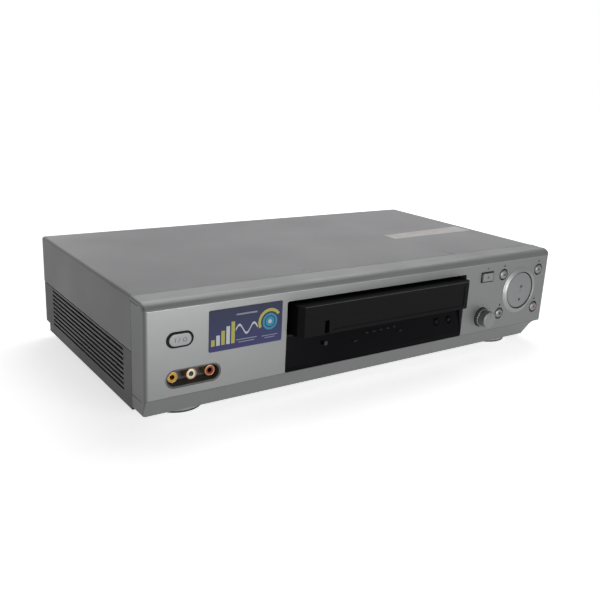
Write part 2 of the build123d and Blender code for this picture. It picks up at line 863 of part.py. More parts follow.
def key_switches():
    """One small push switch behind each key."""
    places = list(key_places.values()) + list(channel_places.values())
    places = places + [(eject_x, eject_z), (ring_x, ring_z)]
    switches = [push_switch(x, z, front_board_depth) for x, z in places]
    switches.append(push_switch(power_x, power_z, socket_board_depth))
    return Compound(children=switches)


def push_switch(x, z, board_face):
    """Square switch body with a round nub, standing on a board's front face."""
    body = from_front(Rectangle(switch_body, switch_body), x, z, board_face - switch_height, board_face)
    nub = pin(x, z, board_face - switch_height - switch_nub, board_face - switch_height, switch_nub_radius)
    return body + nub


# ---- Sockets ------------------------------------------------------------------------------
def front_socket_places():
    """Front sockets from left to right: picture, left sound, right sound."""
    return [(recess_x + step * front_socket_pitch, recess_z) for step in (-1, 0, 1)]


def rear_socket_places(row):
    """The two rear sockets, in and out, of one row counted from the top."""
    z = rear_socket_z + (socket_rows - 1 - row) * rear_socket_pitch
    return [(rear_socket_x, z), (rear_socket_x + rear_socket_columns, z)]


def av_recess():
    """Dark cup let into the face, with a hole for each socket."""
    cup = from_front(SlotOverall(recess_width - seam, recess_height - seam), recess_x, recess_z,
                     seam, recess_floor + recess_wall)
    lip_outline = SlotOverall(recess_width + 2 * recess_lip, recess_height + 2 * recess_lip)
    lip = from_front(lip_outline, recess_x, recess_z, bezel_wall, bezel_wall + recess_wall)
    shrink = seam + 2 * recess_wall
    hollow = from_front(SlotOverall(recess_width - shrink, recess_height - shrink), recess_x, recess_z,
                        -1, recess_floor)
    cup = cup + lip - hollow
    for x, z in front_socket_places():
        cup = cup - pin(x, z, recess_floor - 1, recess_floor + recess_wall + 1, socket_neck + running_gap)
    return cup


def socket_shell(x, z, mouth, wall, seat, facing):
    """Metal shell: a tube, narrower from the wall that it passes through, and a flange at its seat."""
    points = (
        (socket_bore, mouth), (socket_radius, mouth), (socket_radius, wall), (socket_neck, wall),
        (socket_neck, seat), (socket_flange_radius, seat),
        (socket_flange_radius, seat + facing * socket_flange),
        (socket_bore, seat + facing * socket_flange),
    )
    return turned_front(points, x, z)


def socket_insert(x, z, mouth, seat, facing):
    """Coloured filling of a shell with the hole for the plug's pin."""
    face = mouth + facing * seam
    filling = socket_bore - running_gap
    hole_end = face + facing * socket_length
    points = (
        (socket_pin_hole, face), (filling, face), (filling, seat), (0, seat), (0, hole_end),
        (socket_pin_hole, hole_end),
    )
    return turned_front(points, x, z)


def rear_mouth():
    """Depth of the rear sockets' mouths."""
    return frame_back + socket_length


def jack_shells():
    """Metal shells of the three front and six rear sockets."""
    shells = [
        socket_shell(x, z, front_socket_set_back, recess_floor, recess_floor + recess_wall, 1)
        for x, z in front_socket_places()
    ]
    for row in range(socket_rows):
        for x, z in rear_socket_places(row):
            shells.append(socket_shell(x, z, rear_mouth(), frame_back, panel_front, -1))
    return Compound(children=shells)


def jack_inserts(row):
    """Coloured inserts of one kind of signal: one at the front, two at the rear."""
    x, z = front_socket_places()[row]
    inserts = [socket_insert(x, z, front_socket_set_back, socket_board_depth, 1)]
    for x, z in rear_socket_places(row):
        inserts.append(socket_insert(x, z, rear_mouth(), panel_front - 2 * socket_flange, -1))
    return Compound(children=inserts)


def shelf_notch(left, right):
    """Room that a piece on the main board leaves for the shelf at the back of the tub."""
    front = step_depth - frame_wall - seat_gap
    return block(left - 1, right + 1, front, frame_back, 0, shelf_top)


def rear_jack_block():
    """Black body of the rear sockets, standing on the main board against the rear panel."""
    left = rear_socket_x - jack_block_margin
    right = rear_socket_x + rear_socket_columns + jack_block_margin
    top = rear_socket_z + (socket_rows - 1) * rear_socket_pitch + jack_block_margin
    body = block(left, right, panel_front - 2 * jack_block_margin, panel_front, board_top, top)
    body = body - shelf_notch(left, right)
    for row in range(socket_rows):
        for x, z in rear_socket_places(row):
            seat = panel_front - 2 * socket_flange
            body = body - pin(x, z, seat, panel_front + 1, socket_flange_radius + running_gap)
    return body


def tuner_can():
    """Screened metal can of the tuner, with folded corners left sharp."""
    left = aerial_x - tuner_half_width
    right = aerial_x + tuner_half_width
    can = block(left, right, panel_front - tuner_length, panel_front, board_top, board_top + tuner_height)
    dimple = from_side(Circle(tuner_dimple), left - 1, left + cover_sheet)
    can = can - Pos(0, panel_front - tuner_length / 2, board_top + tuner_height / 2) * dimple
    return can - shelf_notch(left, right)


def aerial_places():
    """The aerial input above the output."""
    return [(aerial_x, aerial_z), (aerial_x, aerial_z + aerial_pitch)]


def aerial_sockets():
    """Two threaded aerial sockets with a nut-shaped base."""
    sockets = []
    mouth = body_depth + socket_reach
    for x, z in aerial_places():
        nut = from_front(RegularPolygon(aerial_nut_radius, 6), x, z, panel_front, frame_back)
        barrel = pin(x, z, frame_back, mouth, aerial_radius)
        hole = pin(x, z, mouth - socket_length, mouth + 1, socket_pin_hole / 2)
        sockets.append(nut + barrel - hole)
    return Compound(children=sockets)


def mains_inlet():
    """Two-pin mains inlet with a rounded mouth, snapped into the rear panel."""
    mouth_end = frame_back + inlet_flange - inlet_mouth_depth
    reach = 2 * inlet_flange_reach
    flange_corner = inlet_corner + inlet_flange_reach
    flange_outline = RectangleRounded(inlet_width + reach, inlet_height + reach, flange_corner)
    flange = from_front(flange_outline, inlet_x, inlet_z, frame_back, frame_back + inlet_flange)
    body_outline = RectangleRounded(inlet_width, inlet_height, inlet_corner)
    body = from_front(body_outline, inlet_x, inlet_z, mouth_end - inlet_back, frame_back)
    mouth = from_front(SlotOverall(inlet_mouth_width, inlet_mouth_height), inlet_x, inlet_z,
                       mouth_end, frame_back + inlet_flange + 1)
    body = body + flange - mouth
    for x, z in inlet_pin_places():
        body = body - pin(x, z, mouth_end - inlet_pin_root, mouth_end + 1, inlet_pin_radius + running_gap)
    return body


def inlet_pin_places():
    """The two pins side by side."""
    return [(inlet_x + side * inlet_pin_spacing / 2, inlet_z) for side in (-1, 1)]


def inlet_pins():
    """Two round contact pins."""
    mouth_end = frame_back + inlet_flange - inlet_mouth_depth
    pins = [
        pin(x, z, mouth_end - inlet_pin_root, mouth_end + inlet_pin_length, inlet_pin_radius)
        for x, z in inlet_pin_places()
    ]
    return Compound(children=pins)


# ---- Housing ------------------------------------------------------------------------------
def cover_body(inset, front, back):
    """Solid of the cover's outside, or of its inside when drawn in."""
    half = half_width - inset
    body = block(-half, half, front, back, skirt_height, height - inset)
    return fillet(body.edges().filter_by(Axis.Y).group_by(Axis.Z)[-1], cover_bend - inset)


def top_cover():
    """Folded sheet: top, two sides, and a flange over the back."""
    cover = cover_body(0, frame_front, body_depth) - cover_body(cover_sheet, frame_front - 1, frame_back)
    inner = half_width - cover_sheet
    cover = cover - block(-inner, inner, frame_back - 1, body_depth + 1, 0, height - cover_flange_drop)
    cover = cover - block(-inner, inner, frame_front - 1, frame_back, 0, skirt_height + 1)
    for x in screw_places():
        cover = cover - pin(x, screw_height(), frame_back - 1, body_depth + 1, screw_radius + running_gap)
    return cover


def screw_places():
    """Cover screws, spread evenly across the back."""
    pitch = screw_span / (screw_positions - 1)
    return [-screw_span / 2 + step * pitch for step in range(screw_positions)]


def screw_height():
    """Middle of the cover's rear flange."""
    return height - cover_flange_drop / 2


def cover_screws():
    """Round-headed screws with a cross recess."""
    screws = []
    for x in screw_places():
        z = screw_height()
        head = pin(x, z, body_depth, body_depth + screw_head, screw_head_radius)
        head = fillet(head.faces().sort_by(Axis.Y)[-1].edges(), screw_head / 2)
        shank = pin(x, z, body_depth - screw_length, body_depth, screw_radius)
        cross = Rectangle(screw_head_radius, screw_head / 3) + Rectangle(screw_head / 3, screw_head_radius)
        recess = from_front(cross, x, z, body_depth + screw_head / 2, body_depth + 2 * screw_head)
        screws.append(head + shank - recess)
    return Compound(children=screws)


def rear_panel():
    """Flat rear panel with a hole for every socket, the inlet and the cover's screws."""
    panel = block(-panel_half, panel_half, panel_front, frame_back, shelf_top, panel_top)
    cuts = []
    for row in range(socket_rows):
        for x, z in rear_socket_places(row):
            cuts.append(pin(x, z, panel_front - 1, frame_back + 1, socket_neck + running_gap))
    for x, z in aerial_places():
        cuts.append(pin(x, z, panel_front - 1, frame_back + 1, aerial_nut_radius + running_gap))
    inlet = Rectangle(inlet_width + 2 * running_gap, inlet_height + 2 * running_gap)
    cuts.append(from_front(inlet, inlet_x, inlet_z, panel_front - 1, frame_back + 1))
    for x in screw_places():
        cuts.append(pin(x, screw_height(), panel_front - 1, frame_back + 1, screw_radius + running_gap))
    return panel - cuts


def side_vents(side):
    """The stack of long slots through one side wall."""
    length = vent_back - vent_front
    middle = (vent_front + vent_back) / 2
    slots = Sketch() + [
        Pos(middle, vent_top - step * vent_pitch) * SlotOverall(length, vent_slot)
        for step in range(vent_count)
    ]
    outer = side * (half_width + 1)
    inner = side * (half_width - frame_wall - 1)
    return from_side(slots, min(outer, inner), max(outer, inner))


def deck_post_places():
    """Corners of the deck plate, in top view."""
    return [
        (bay_x + side * (deck_half_width - deck_post_inset), depth)
        for side in (-1, 1)
        for depth in (deck_front + deck_post_inset, deck_back - deck_post_inset)
    ]


def board_boss_places():
    """Places where the main board rests, in top view."""
    reach = half_width - frame_wall - board_side_gap - 2 * boss_radius
    depths = (board_front + boss_from_edge, board_back - boss_from_edge)
    return [(side * reach, depth) for side in (-1, 1) for depth in depths]


def main_frame():
    """Moulded tub: floor, slotted sides, stepped back, bosses and rails."""
    tub = block(-half_width, half_width, frame_front, frame_back, foot_height, frame_top)
    inner = half_width - frame_wall
    tub = tub - block(-inner, inner, frame_front - 1, step_depth - frame_wall, frame_floor, height)
    tub = tub - block(-inner, inner, frame_front - 1, frame_back + 1, shelf_top, height)
    tub = tub - block(-half_width - 1, half_width + 1, step_depth, frame_back + 1, 0, step_height)
    notch_reach = notch_width + notch_round_width + notch_lean
    tub = tub + block(inner - notch_reach, inner, frame_front, frame_front + frame_wall,
                      frame_floor, chin_height)
    tongue_half = half_width - notch_reach - 2 * frame_wall
    tongue_low = foot_height + bezel_wall
    tub = tub + block(-tongue_half, tongue_half, frame_front - tongue_reach, frame_front + frame_wall,
                      tongue_low, tongue_low + frame_wall)
    rail_outer = half_width - cover_sheet - seam
    for side in (-1, 1):
        tub = tub - side_vents(side)
        edges = sorted((side * rail_outer, side * (rail_outer - rail_thickness)))
        tub = tub + block(*edges, frame_front + rail_rise, panel_front - rail_rise,
                          frame_top - rail_thickness, frame_top + rail_rise)
        for rib in range(1, vent_ribs + 1):
            depth = vent_front + (vent_back - vent_front) * rib / (vent_ribs + 1)
            edges = sorted((side * inner, side * (inner - vent_rib)))
            tub = tub + block(*edges, depth - vent_rib / 2, depth + vent_rib / 2, frame_floor, frame_top)
    for x, y in board_boss_places():
        tub = tub + rod(x, y, frame_floor, board_low, boss_radius)
    for x, y in deck_post_places():
        tub = tub + rod(x, y, frame_floor, deck_height, deck_post_radius)
    return tub


def feet():
    """Four broad round feet with a softened lower edge."""
    points = (
        (0, 0), (foot_radius - 2 * foot_taper, 0), (foot_radius - foot_taper, foot_taper),
        (foot_radius, foot_height), (0, foot_height),
    )
    places = [(side * foot_x, depth) for side in (-1, 1) for depth in (foot_front, foot_back)]
    return Compound(children=[turned_upright(points, x, y) for x, y in places])


# ---- Boards and electrical parts ----------------------------------------------------------
def main_board():
    """Main circuit board, with clearance holes for the deck's posts."""
    half = half_width - frame_wall - board_side_gap
    board = block(-half, half, board_front, board_back, board_low, board_top)
    for x, y in deck_post_places():
        board = board - rod(x, y, board_low - 1, board_top + 1, deck_post_radius + seat_gap)
    return board


def front_boards():
    """Key board with a low strip behind the window, and the socket board at the left."""
    keys = block(front_board_left, front_board_right, front_board_depth, front_board_depth + board_sheet,
                 front_board_low, front_board_high)
    strip = block(bay_left + bay_return_wall, front_board_left, front_board_depth,
                  front_board_depth + board_sheet, front_board_low, strip_board_high)
    half = recess_width / 2 + 2 * recess_wall
    sockets = block(recess_x - half, recess_x + half, socket_board_depth, socket_board_depth + board_sheet,
                    front_board_low, power_z + power_height)
    return Compound(children=[keys + strip, sockets])


def display_tube():
    """Flat glass display behind the window, standing on the strip board."""
    middle = (window_lip_height + strip_board_high) / 2
    outline = Rectangle(2 * tube_half_width, tube_height)
    tube = from_front(outline, bay_x, middle, tube_front, front_board_depth)
    end = bay_x - tube_half_width
    tip = from_side(Circle(tube_tip_radius), end - 2 * tube_tip_radius, end)
    return tube + Pos(0, (tube_front + front_board_depth) / 2, middle) * tip


def transformer():
    """Mains transformer: stacked core with a wound bobbin through it."""
    x = transformer_x
    depth = transformer_depth
    core = block(x - core_width / 2, x + core_width / 2, depth - core_stack / 2, depth + core_stack / 2,
                 board_top, board_top + core_height)
    inner = core_middle_limb / 2
    outer = core_width / 2 - core_limb
    windows = [
        block(*sorted((x + side * inner, x + side * outer)), depth - core_stack, depth + core_stack,
              board_top + core_yoke, board_top + core_height - core_yoke)
        for side in (-1, 1)
    ]
    middle = board_top + core_height / 2
    winding = block(x - winding_width / 2, x + winding_width / 2, depth - winding_reach / 2,
                    depth + winding_reach / 2, middle - winding_height / 2, middle + winding_height / 2)
    return core - windows + winding


def capacitors():
    """Row of upright round capacitors on the main board, each with a rolled groove."""
    groove = board_top + can_groove_height
    top = board_top + can_height
    points = (
        (0, board_top), (can_radius, board_top), (can_radius, groove),
        (can_radius - can_groove, groove + can_groove), (can_radius, groove + 2 * can_groove),
        (can_radius, top - can_groove), (can_radius - can_groove, top), (0, top),
    )
    return Compound(children=[
        turned_upright(points, can_first_x + step * can_pitch, can_depth) for step in range(can_count)
    ])


# ---- Tape deck ----------------------------------------------------------------------------
def drum_frame():
    """Location of the tilted drum axis, at the middle of the drum's underside."""
    return Pos(bay_x, front_y + drum_depth, drum_base_height) * Rot(-drum_tilt, 0, 0)


def stator_post_places():
    """Three stand-offs of the capstan motor outside its flywheel."""
    reach = stator_half - stator_post_radius
    return [
        (capstan_at - reach, capstan_depth - reach),
        (capstan_at + reach, capstan_depth - reach),
        (capstan_at + reach, capstan_depth + reach),
    ]


def deck_plate():
    """Plate that carries the tape path, with spindle pins, bearings and pivots."""
    left = bay_x - deck_half_width
    right = bay_x + deck_half_width
    plate = block(left, right, deck_front, deck_back, deck_height, deck_top)
    for side in (-1, 1):
        x = bay_x + side * reel_spacing / 2
        pin_top = deck_top + spindle_height - spindle_pin_short
        plate = plate + rod(x, spindle_depth, deck_top, pin_top, spindle_pin_radius)
    bearing_low = flywheel_height + flywheel_thickness + bearing_over_flywheel
    plate = plate + rod(capstan_at, capstan_depth, bearing_low, deck_top + bearing_rise, bearing_radius)
    plate = plate - rod(capstan_at, capstan_depth, 0, height, capstan_radius + running_gap)
    pivot_x = bay_x + pinch_pivot_x
    plate = plate + rod(pivot_x, pinch_pivot_depth, deck_top, pinch_arm_height, 2 * pinch_pivot_radius)
    pivot_top = pinch_arm_height + 2 * pinch_arm_sheet + seat_gap
    plate = plate + rod(pivot_x, pinch_pivot_depth, deck_top, pivot_top, pinch_pivot_radius)
    for side in (-1, 1):
        outline = SlotOverall(track_length, track_width, rotation=side * track_turn)
        plate = plate - from_above(outline, bay_x + side * track_x, drum_depth - track_ahead,
                                   deck_height - 1, deck_top + 1)
    return plate


def drum_cylinder(low, high, radius):
    """Cylinder on the tilted drum axis, between two distances along it."""
    return drum_frame() * extrude(Pos(0, 0, low) * Circle(radius), amount=high - low)


def lower_drum():
    """Fixed half of the head drum on its column."""
    column = rod(bay_x, drum_depth, deck_top, drum_base_height + drum_lower / 2, drum_column_radius)
    drum = drum_cylinder(0, drum_lower, drum_radius) + column
    return drum - drum_cylinder(drum_lower / 4, drum_lower + 1, drum_shaft_radius + running_gap)


def upper_drum():
    """Turning half of the drum with its shaft, rotor and head windows."""
    low = drum_lower + drum_slit
    high = low + drum_upper
    drum = drum_cylinder(low, high, drum_radius) + drum_cylinder(high, high + drum_rotor, drum_rotor_radius)
    drum = drum + drum_cylinder(drum_lower / 3, low, drum_shaft_radius)
    for head in range(drum_heads):
        window = Pos(drum_radius, 0, low) * Box(2, 3, 2)
        drum = drum - drum_frame() * Rot(0, 0, head * 360 / drum_heads) * window
    return drum


def tape_head(x, depth, width_across, turn):
    """Upright head block on a round stem with an adjusting foot."""
    foot_top = deck_top + head_foot
    head_low = deck_top + head_rise
    foot = rod(x, depth, deck_top, foot_top, head_foot_radius)
    stem = rod(x, depth, foot_top, head_low, head_stem_radius)
    outline = Rot(0, 0, turn) * Rectangle(width_across, head_thickness)
    head = from_above(outline, x, depth, head_low, head_low + head_height)
    back_edges = head.edges().filter_by(Axis.Z).group_by(Axis.Y)[-1]
    return fillet(back_edges, head_nose) + foot + stem


def erase_head():
    """Full-width erase head left of the drum."""
    return tape_head(bay_x + erase_head_x, drum_depth - erase_head_ahead, erase_head_width, head_turn)


def control_head():
    """Sound and control head right of the drum."""
    return tape_head(bay_x + control_head_x, drum_depth - control_head_ahead, control_head_width, -head_turn)


def tape_guides():
    """Flanged guide posts along the tape path."""
    low = deck_top + guide_flange_rise
    top = deck_top + guide_height
    points = (
        (0, deck_top), (guide_base_radius, deck_top), (guide_base_radius, deck_top + guide_base),
        (guide_radius, deck_top + guide_base), (guide_radius, low), (guide_flange_radius, low),
        (guide_flange_radius, low + guide_flange), (guide_radius, low + guide_flange),
        (guide_radius, top - guide_flange), (guide_flange_radius, top - guide_flange),
        (guide_flange_radius, top), (0, top),
    )
    return Compound(children=[
        turned_upright(points, bay_x + right, drum_depth - ahead) for right, ahead in guide_places
    ])


def capstan_motor():
    """Stator plate under the flywheel, hung from the deck plate by three posts."""
    low = flywheel_height - stator_drop - stator_sheet
    plate = block(capstan_at - stator_half, capstan_at + stator_half, capstan_depth - stator_half,
                  capstan_depth + stator_half, low, low + stator_sheet)
    for x, y in stator_post_places():
        plate = plate + rod(x, y, low, deck_height, stator_post_radius)
    cup_top = flywheel_height - running_gap
    return plate + rod(capstan_at, capstan_depth, low, cup_top, bearing_radius)


def capstan():
    """Flywheel and the thin capstan shaft."""
    rim = flywheel_radius
    low = flywheel_height
    high = flywheel_height + flywheel_thickness
    points = (
        (0, low), (rim, low), (rim, high), (rim - flywheel_rim, high),
        (rim - flywheel_rim, high - flywheel_dish),
        (bearing_radius, high - flywheel_dish), (bearing_radius, high), (capstan_radius, high),
        (capstan_radius, capstan_top), (0, capstan_top),
    )
    return turned_upright(points, capstan_at, capstan_depth)


def pinch_roller_place():
    """Rest place of the pinch roller's axis, in top view."""
    angle = math.radians(pinch_pressed_angle - pinch_swing)
    x = bay_x + pinch_pivot_x + pinch_arm_length * math.cos(angle)
    return x, pinch_pivot_depth + pinch_arm_length * math.sin(angle)


def pinch_arm():
    """Flat arm between its pivot bush and the roller's pin."""
    pivot_x = bay_x + pinch_pivot_x
    roller_x, roller_depth = pinch_roller_place()
    low = pinch_arm_height + running_gap
    high = low + pinch_arm_sheet
    reach = SlotCenterToCenter(pinch_arm_length, pinch_arm_width)
    middle = Pos((pivot_x + roller_x) / 2, front_y + (pinch_pivot_depth + roller_depth) / 2, low)
    arm = extrude(middle * Rot(0, 0, pinch_pressed_angle - pinch_swing) * reach, amount=pinch_arm_sheet)
    bush_radius = pinch_pivot_radius + pinch_bush_wall
    arm = arm + rod(pivot_x, pinch_pivot_depth, high, high + pinch_arm_sheet, bush_radius)
    arm = arm - rod(pivot_x, pinch_pivot_depth, 0, height, pinch_pivot_radius + running_gap)
    return arm + rod(roller_x, roller_depth, high, pinch_roller_high, pinch_pin_radius)


def pinch_roller():
    """Rubber roller on the arm's pin."""
    x, depth = pinch_roller_place()
    bore = pinch_pin_radius + running_gap
    points = (
        (bore, pinch_roller_low), (pinch_roller_radius, pinch_roller_low),
        (pinch_roller_radius, pinch_roller_high), (bore, pinch_roller_high),
    )
    return turned_upright(points, x, depth)


def reel_spindle(side):
    """Reel table with a splined spindle, turning on the deck's pin."""
    x = bay_x + side * reel_spacing / 2
    table_low = deck_top + seat_gap
    table_high = table_low + spindle_table
    top = deck_top + spindle_height
    bore = spindle_pin_radius + running_gap
    bore_top = top - spindle_roof
    points = (
        (bore, table_low), (spindle_table_radius, table_low), (spindle_table_radius, table_high),
        (spindle_radius, table_high), (spindle_radius, top - spindle_cone), (spindle_tip_radius, top),
        (0, top),
        (0, bore_top), (bore, bore_top),
    )
    spindle = turned_upright(points, x, spindle_depth)
    for spline in range(spindle_splines):
        tooth = Rot(0, 0, spline * 360 / spindle_splines) * Pos(spindle_radius, 0) * Rectangle(
            2 * spindle_spline_reach, spindle_spline_reach)
        spindle = spindle + from_above(tooth, x, spindle_depth, table_high, top - spindle_cone)
    return spindle


def loading_motor():
    """Small round motor in a saddle, with its worm shaft."""
    axis_z = deck_top + loading_motor_radius + loading_motor_rise
    left = bay_x - deck_half_width + 2 * deck_post_inset
    right = left + loading_motor_length
    depth = deck_back - loading_motor_radius - worm_margin
    body = from_side(Circle(loading_motor_radius), left, right)
    shaft = from_side(Circle(loading_shaft_radius), right, right + loading_shaft_length)
    worm = from_side(Circle(worm_radius), right + worm_margin, right + worm_margin + worm_length)
    motor = Pos(0, depth, axis_z) * (body + shaft + worm)
    saddle = block(left + saddle_margin, right - saddle_margin, depth - saddle_half, depth + saddle_half,
                   deck_top, axis_z - saddle_drop)
    return motor + saddle


def guide_pin_places():
    """Depths of the two guide pins on each side of the holder."""
    first = holder_front + guide_pin_from_front
    return (first, first + guide_pin_spacing)


def carriage_slots():
    """L-shaped guide slots: level for the way in, then down onto the spindles."""
    slot = 2 * (guide_pin_radius + guide_slot_room)
    slots = Sketch()
    for start in guide_pin_places():
        end = start + holder_travel
        level = Pos((start + end) / 2, guide_pin_height) * SlotOverall(holder_travel + slot, slot)
        drop_slot = SlotOverall(holder_drop + slot, slot, rotation=90)
        drop = Pos(end, guide_pin_height - holder_drop / 2) * drop_slot
        slots = slots + level + drop
    return slots


def carriage_frame():
    """Two slotted side plates with feet on the deck, joined by a tie over the cassette."""
    frame = block(bay_x - carriage_inner, bay_x + carriage_inner, tie_front, tie_back,
                  carriage_top - carriage_sheet, carriage_top)
    for side in (-1, 1):
        inner = bay_x + side * carriage_inner
        outer = inner + side * carriage_sheet
        foot = outer + side * carriage_foot
        plate = block(*sorted((inner, outer)), carriage_front, carriage_back, deck_top, carriage_top)
        plate = plate - from_side(carriage_slots(), min(inner, outer) - 1, max(inner, outer) + 1)
        for depth in (carriage_foot_front, carriage_foot_back):
            front = depth - carriage_foot_half
            back = depth + carriage_foot_half
            plate = plate + block(*sorted((inner, foot)), front, back, deck_top, deck_top + carriage_sheet)
        frame = frame + plate
    return frame


def cassette_holder():
    """Folded basket that carries the cassette, with guide pins in the side plates' slots."""
    half = holder_half
    inside = half - holder_sheet
    top = cassette_high + seat_gap
    holder = block(bay_x - half, bay_x + half, holder_front, holder_back, holder_low, top + holder_sheet)
    holder = holder - block(bay_x - inside, bay_x + inside, holder_front - 1, holder_back + 1,
                            holder_low + holder_sheet, top)
    lip_inner = half - holder_lip
    holder = holder - block(bay_x - lip_inner, bay_x + lip_inner, holder_front - 1, holder_back + 1,
                            top - 1, height)
    holder = holder - block(bay_x - half - 1, bay_x + half + 1, holder_front - 1, holder_lip_front,
                            top - 1, height)
    lid_room_front = lid_pin_depth - holder_lid_room
    lid_room_low = lid_pin_z - holder_lid_room
    holder = holder - block(bay_x - half - 1, bay_x + half + 1, lid_room_front, holder_back + 1,
                            lid_room_low, height)
    ledge_inner = reel_spacing / 2 + spindle_table_radius + holder_ledge_room
    holder = holder - block(bay_x - ledge_inner, bay_x + ledge_inner, holder_front + holder_bar,
                            holder_back + 1, 0, cassette_low)
    pin_end = carriage_inner + carriage_sheet + guide_pin_radius / 2
    for depth in guide_pin_places():
        for side in (-1, 1):
            span = sorted((bay_x + side * (half - holder_sheet / 2), bay_x + side * pin_end))
            stud = from_side(Circle(guide_pin_radius), *span)
            holder = holder + Pos(0, depth, guide_pin_height) * stud
    return holder


# ---- Cassette -----------------------------------------------------------------------------
def cassette_outline(inset):
    """Top view of the cassette with its two spine corners cut off."""
    half = cassette_width / 2 - inset
    front = spine + inset
    back = cassette_back - inset
    cut = spine_chamfer
    return Polygon(
        (-half, back), (-half, front + cut), (-half + cut, front), (half - cut, front),
        (half, front + cut), (half, back),
        align=None,
    )


def cassette_shell(low, high, floor_low, floor_high):
    """Hollow half of the cassette between two heights, with its closed floor or roof."""
    shell = from_above(cassette_outline(0), bay_x, 0, low, high)
    hollow = from_above(cassette_outline(cassette_wall), bay_x, 0, low - 1, high + 1)
    floor = from_above(cassette_outline(cassette_wall / 2), bay_x, 0, floor_low, floor_high)
    return shell - hollow + floor


def lid_room():
    """Space that the lid takes from both halves: front strip, top strip and ends."""
    clear = seat_gap
    half = cassette_width / 2 + 1
    front = block(bay_x - half, bay_x + half, cassette_back - lid_sheet - clear, cassette_back + 1,
                  cassette_low - 1, cassette_high + 1)
    strip_back = lid_pin_depth - lid_sheet / 2 - clear
    top = block(bay_x - half, bay_x + half, strip_back, cassette_back + 1,
                cassette_high - lid_sheet - 2 * clear, cassette_high + 1)
    return [front, top]


def spine_label():
    """Shallow recess for the spine's label."""
    middle = cassette_low + cassette_height / 2
    outline = Rectangle(spine_label_width, spine_label_height)
    return from_front(outline, bay_x + spine_label_shift, middle, spine - 1, spine + label_recess)


def throat(grow, low):
    """Hollow behind the lid, drawn out by grow, from a height up to the parting line."""
    half = throat_width / 2 + grow
    front = cassette_back - throat_depth - grow
    return block(bay_x - half, bay_x + half, front, cassette_back + 1, low, parting)


def cassette_base():
    """Lower half: floor with hub holes, throat for the tape guides, tab notch."""
    floor_high = cassette_low + cassette_wall
    base = cassette_shell(cassette_low, parting, cassette_low, floor_high)
    inside = from_above(cassette_outline(0), bay_x, 0, cassette_low, parting)
    walls = throat(throat_wall, cassette_low) & inside
    base = base + walls - throat(0, cassette_low - 1)
    cuts = lid_room() + [spine_label()]
    for side in (-1, 1):
        cuts.append(rod(bay_x + side * reel_spacing / 2, reel_depth, cassette_low - 1, floor_high + 1,
                        hub_hole_radius))
    notch_x = bay_x - cassette_width / 2 + tab_notch_from_end + tab_notch_width / 2
    notch = Rectangle(tab_notch_width, tab_notch_height)
    notch_z = cassette_low + tab_notch_rise + tab_notch_height / 2
    cuts.append(from_front(notch, notch_x, notch_z, spine - 1, spine + tab_notch_sink))
    return base - cuts


def cassette_top():
    """Upper half: roof with two sunk reel windows and ears for the lid."""
    roof_low = cassette_high - cassette_wall
    top = cassette_shell(parting, cassette_high, roof_low, cassette_high)
    cuts = lid_room() + [spine_label()]
    for side in (-1, 1):
        outline = RectangleRounded(reel_window_width, reel_window_depth, reel_window_corner)
        cuts.append(from_above(outline, bay_x + side * reel_spacing / 2, reel_depth,
                               cassette_high - reel_window_sink, cassette_high + 1))
    top = top - cuts
    ear_low = cassette_high - lid_sheet - 2 * seat_gap - lid_ear
    for side in (-1, 1):
        outer = bay_x + side * cassette_width / 2
        inner = outer - side * cassette_wall
        ear = block(*sorted((outer, inner)), lid_pin_depth - lid_ear, lid_pin_depth + lid_ear,
                    ear_low, cassette_high)
        top = top + ear
    hole = from_side(Circle(lid_pin_radius + running_gap), bay_x - cassette_width, bay_x + cassette_width)
    return top - Pos(0, lid_pin_depth, lid_pin_z) * hole


def cassette_lid():
    """Hinged lid over the tape: front strip, top strip and two hinge pins."""
    half = cassette_width / 2 - cassette_wall - seat_gap
    low = cassette_low + seat_gap
    strip_low = lid_pin_z - lid_sheet / 2
    strip_high = lid_pin_z + lid_sheet / 2
    front = block(bay_x - half, bay_x + half, cassette_back - lid_sheet, cassette_back, low, strip_high)
    top = block(bay_x - half, bay_x + half, lid_pin_depth, cassette_back, strip_low, strip_high)
    edge = from_side(Circle(lid_sheet / 2), bay_x - half, bay_x + half)
    pins = from_side(Circle(lid_pin_radius), bay_x - half - cassette_wall, bay_x + half + cassette_wall)
    return front + top + Pos(0, lid_pin_depth, lid_pin_z) * (edge + pins)


def tape_reel(side, pack_radius):
    """Hub with inner teeth, lower flange and wound tape."""
    x = bay_x + side * reel_spacing / 2
    floor = cassette_low + cassette_wall
    low = cassette_low + seat_gap
    flange_low = floor + seat_gap
    flange_high = flange_low + reel_flange
    tape_high = cassette_high - cassette_wall - tape_headroom
    cap = tape_high + hub_cap
    points = (
        (hub_socket_radius, low), (hub_radius, low), (hub_radius, flange_low),
        (reel_flange_radius, flange_low), (reel_flange_radius, flange_high),
        (pack_radius, flange_high), (pack_radius, tape_high), (hub_radius, tape_high),
        (hub_radius, cap), (0, cap), (0, tape_high), (hub_socket_radius, tape_high),
    )
    reel = turned_upright(points, x, reel_depth)
    for tooth in range(hub_teeth):
        outline = Pos(hub_socket_radius, 0) * Rectangle(hub_tooth, hub_tooth)
        turned = Rot(0, 0, tooth * 360 / hub_teeth) * outline
        reel = reel + from_above(turned, x, reel_depth, flange_low, tape_high)
    return reel


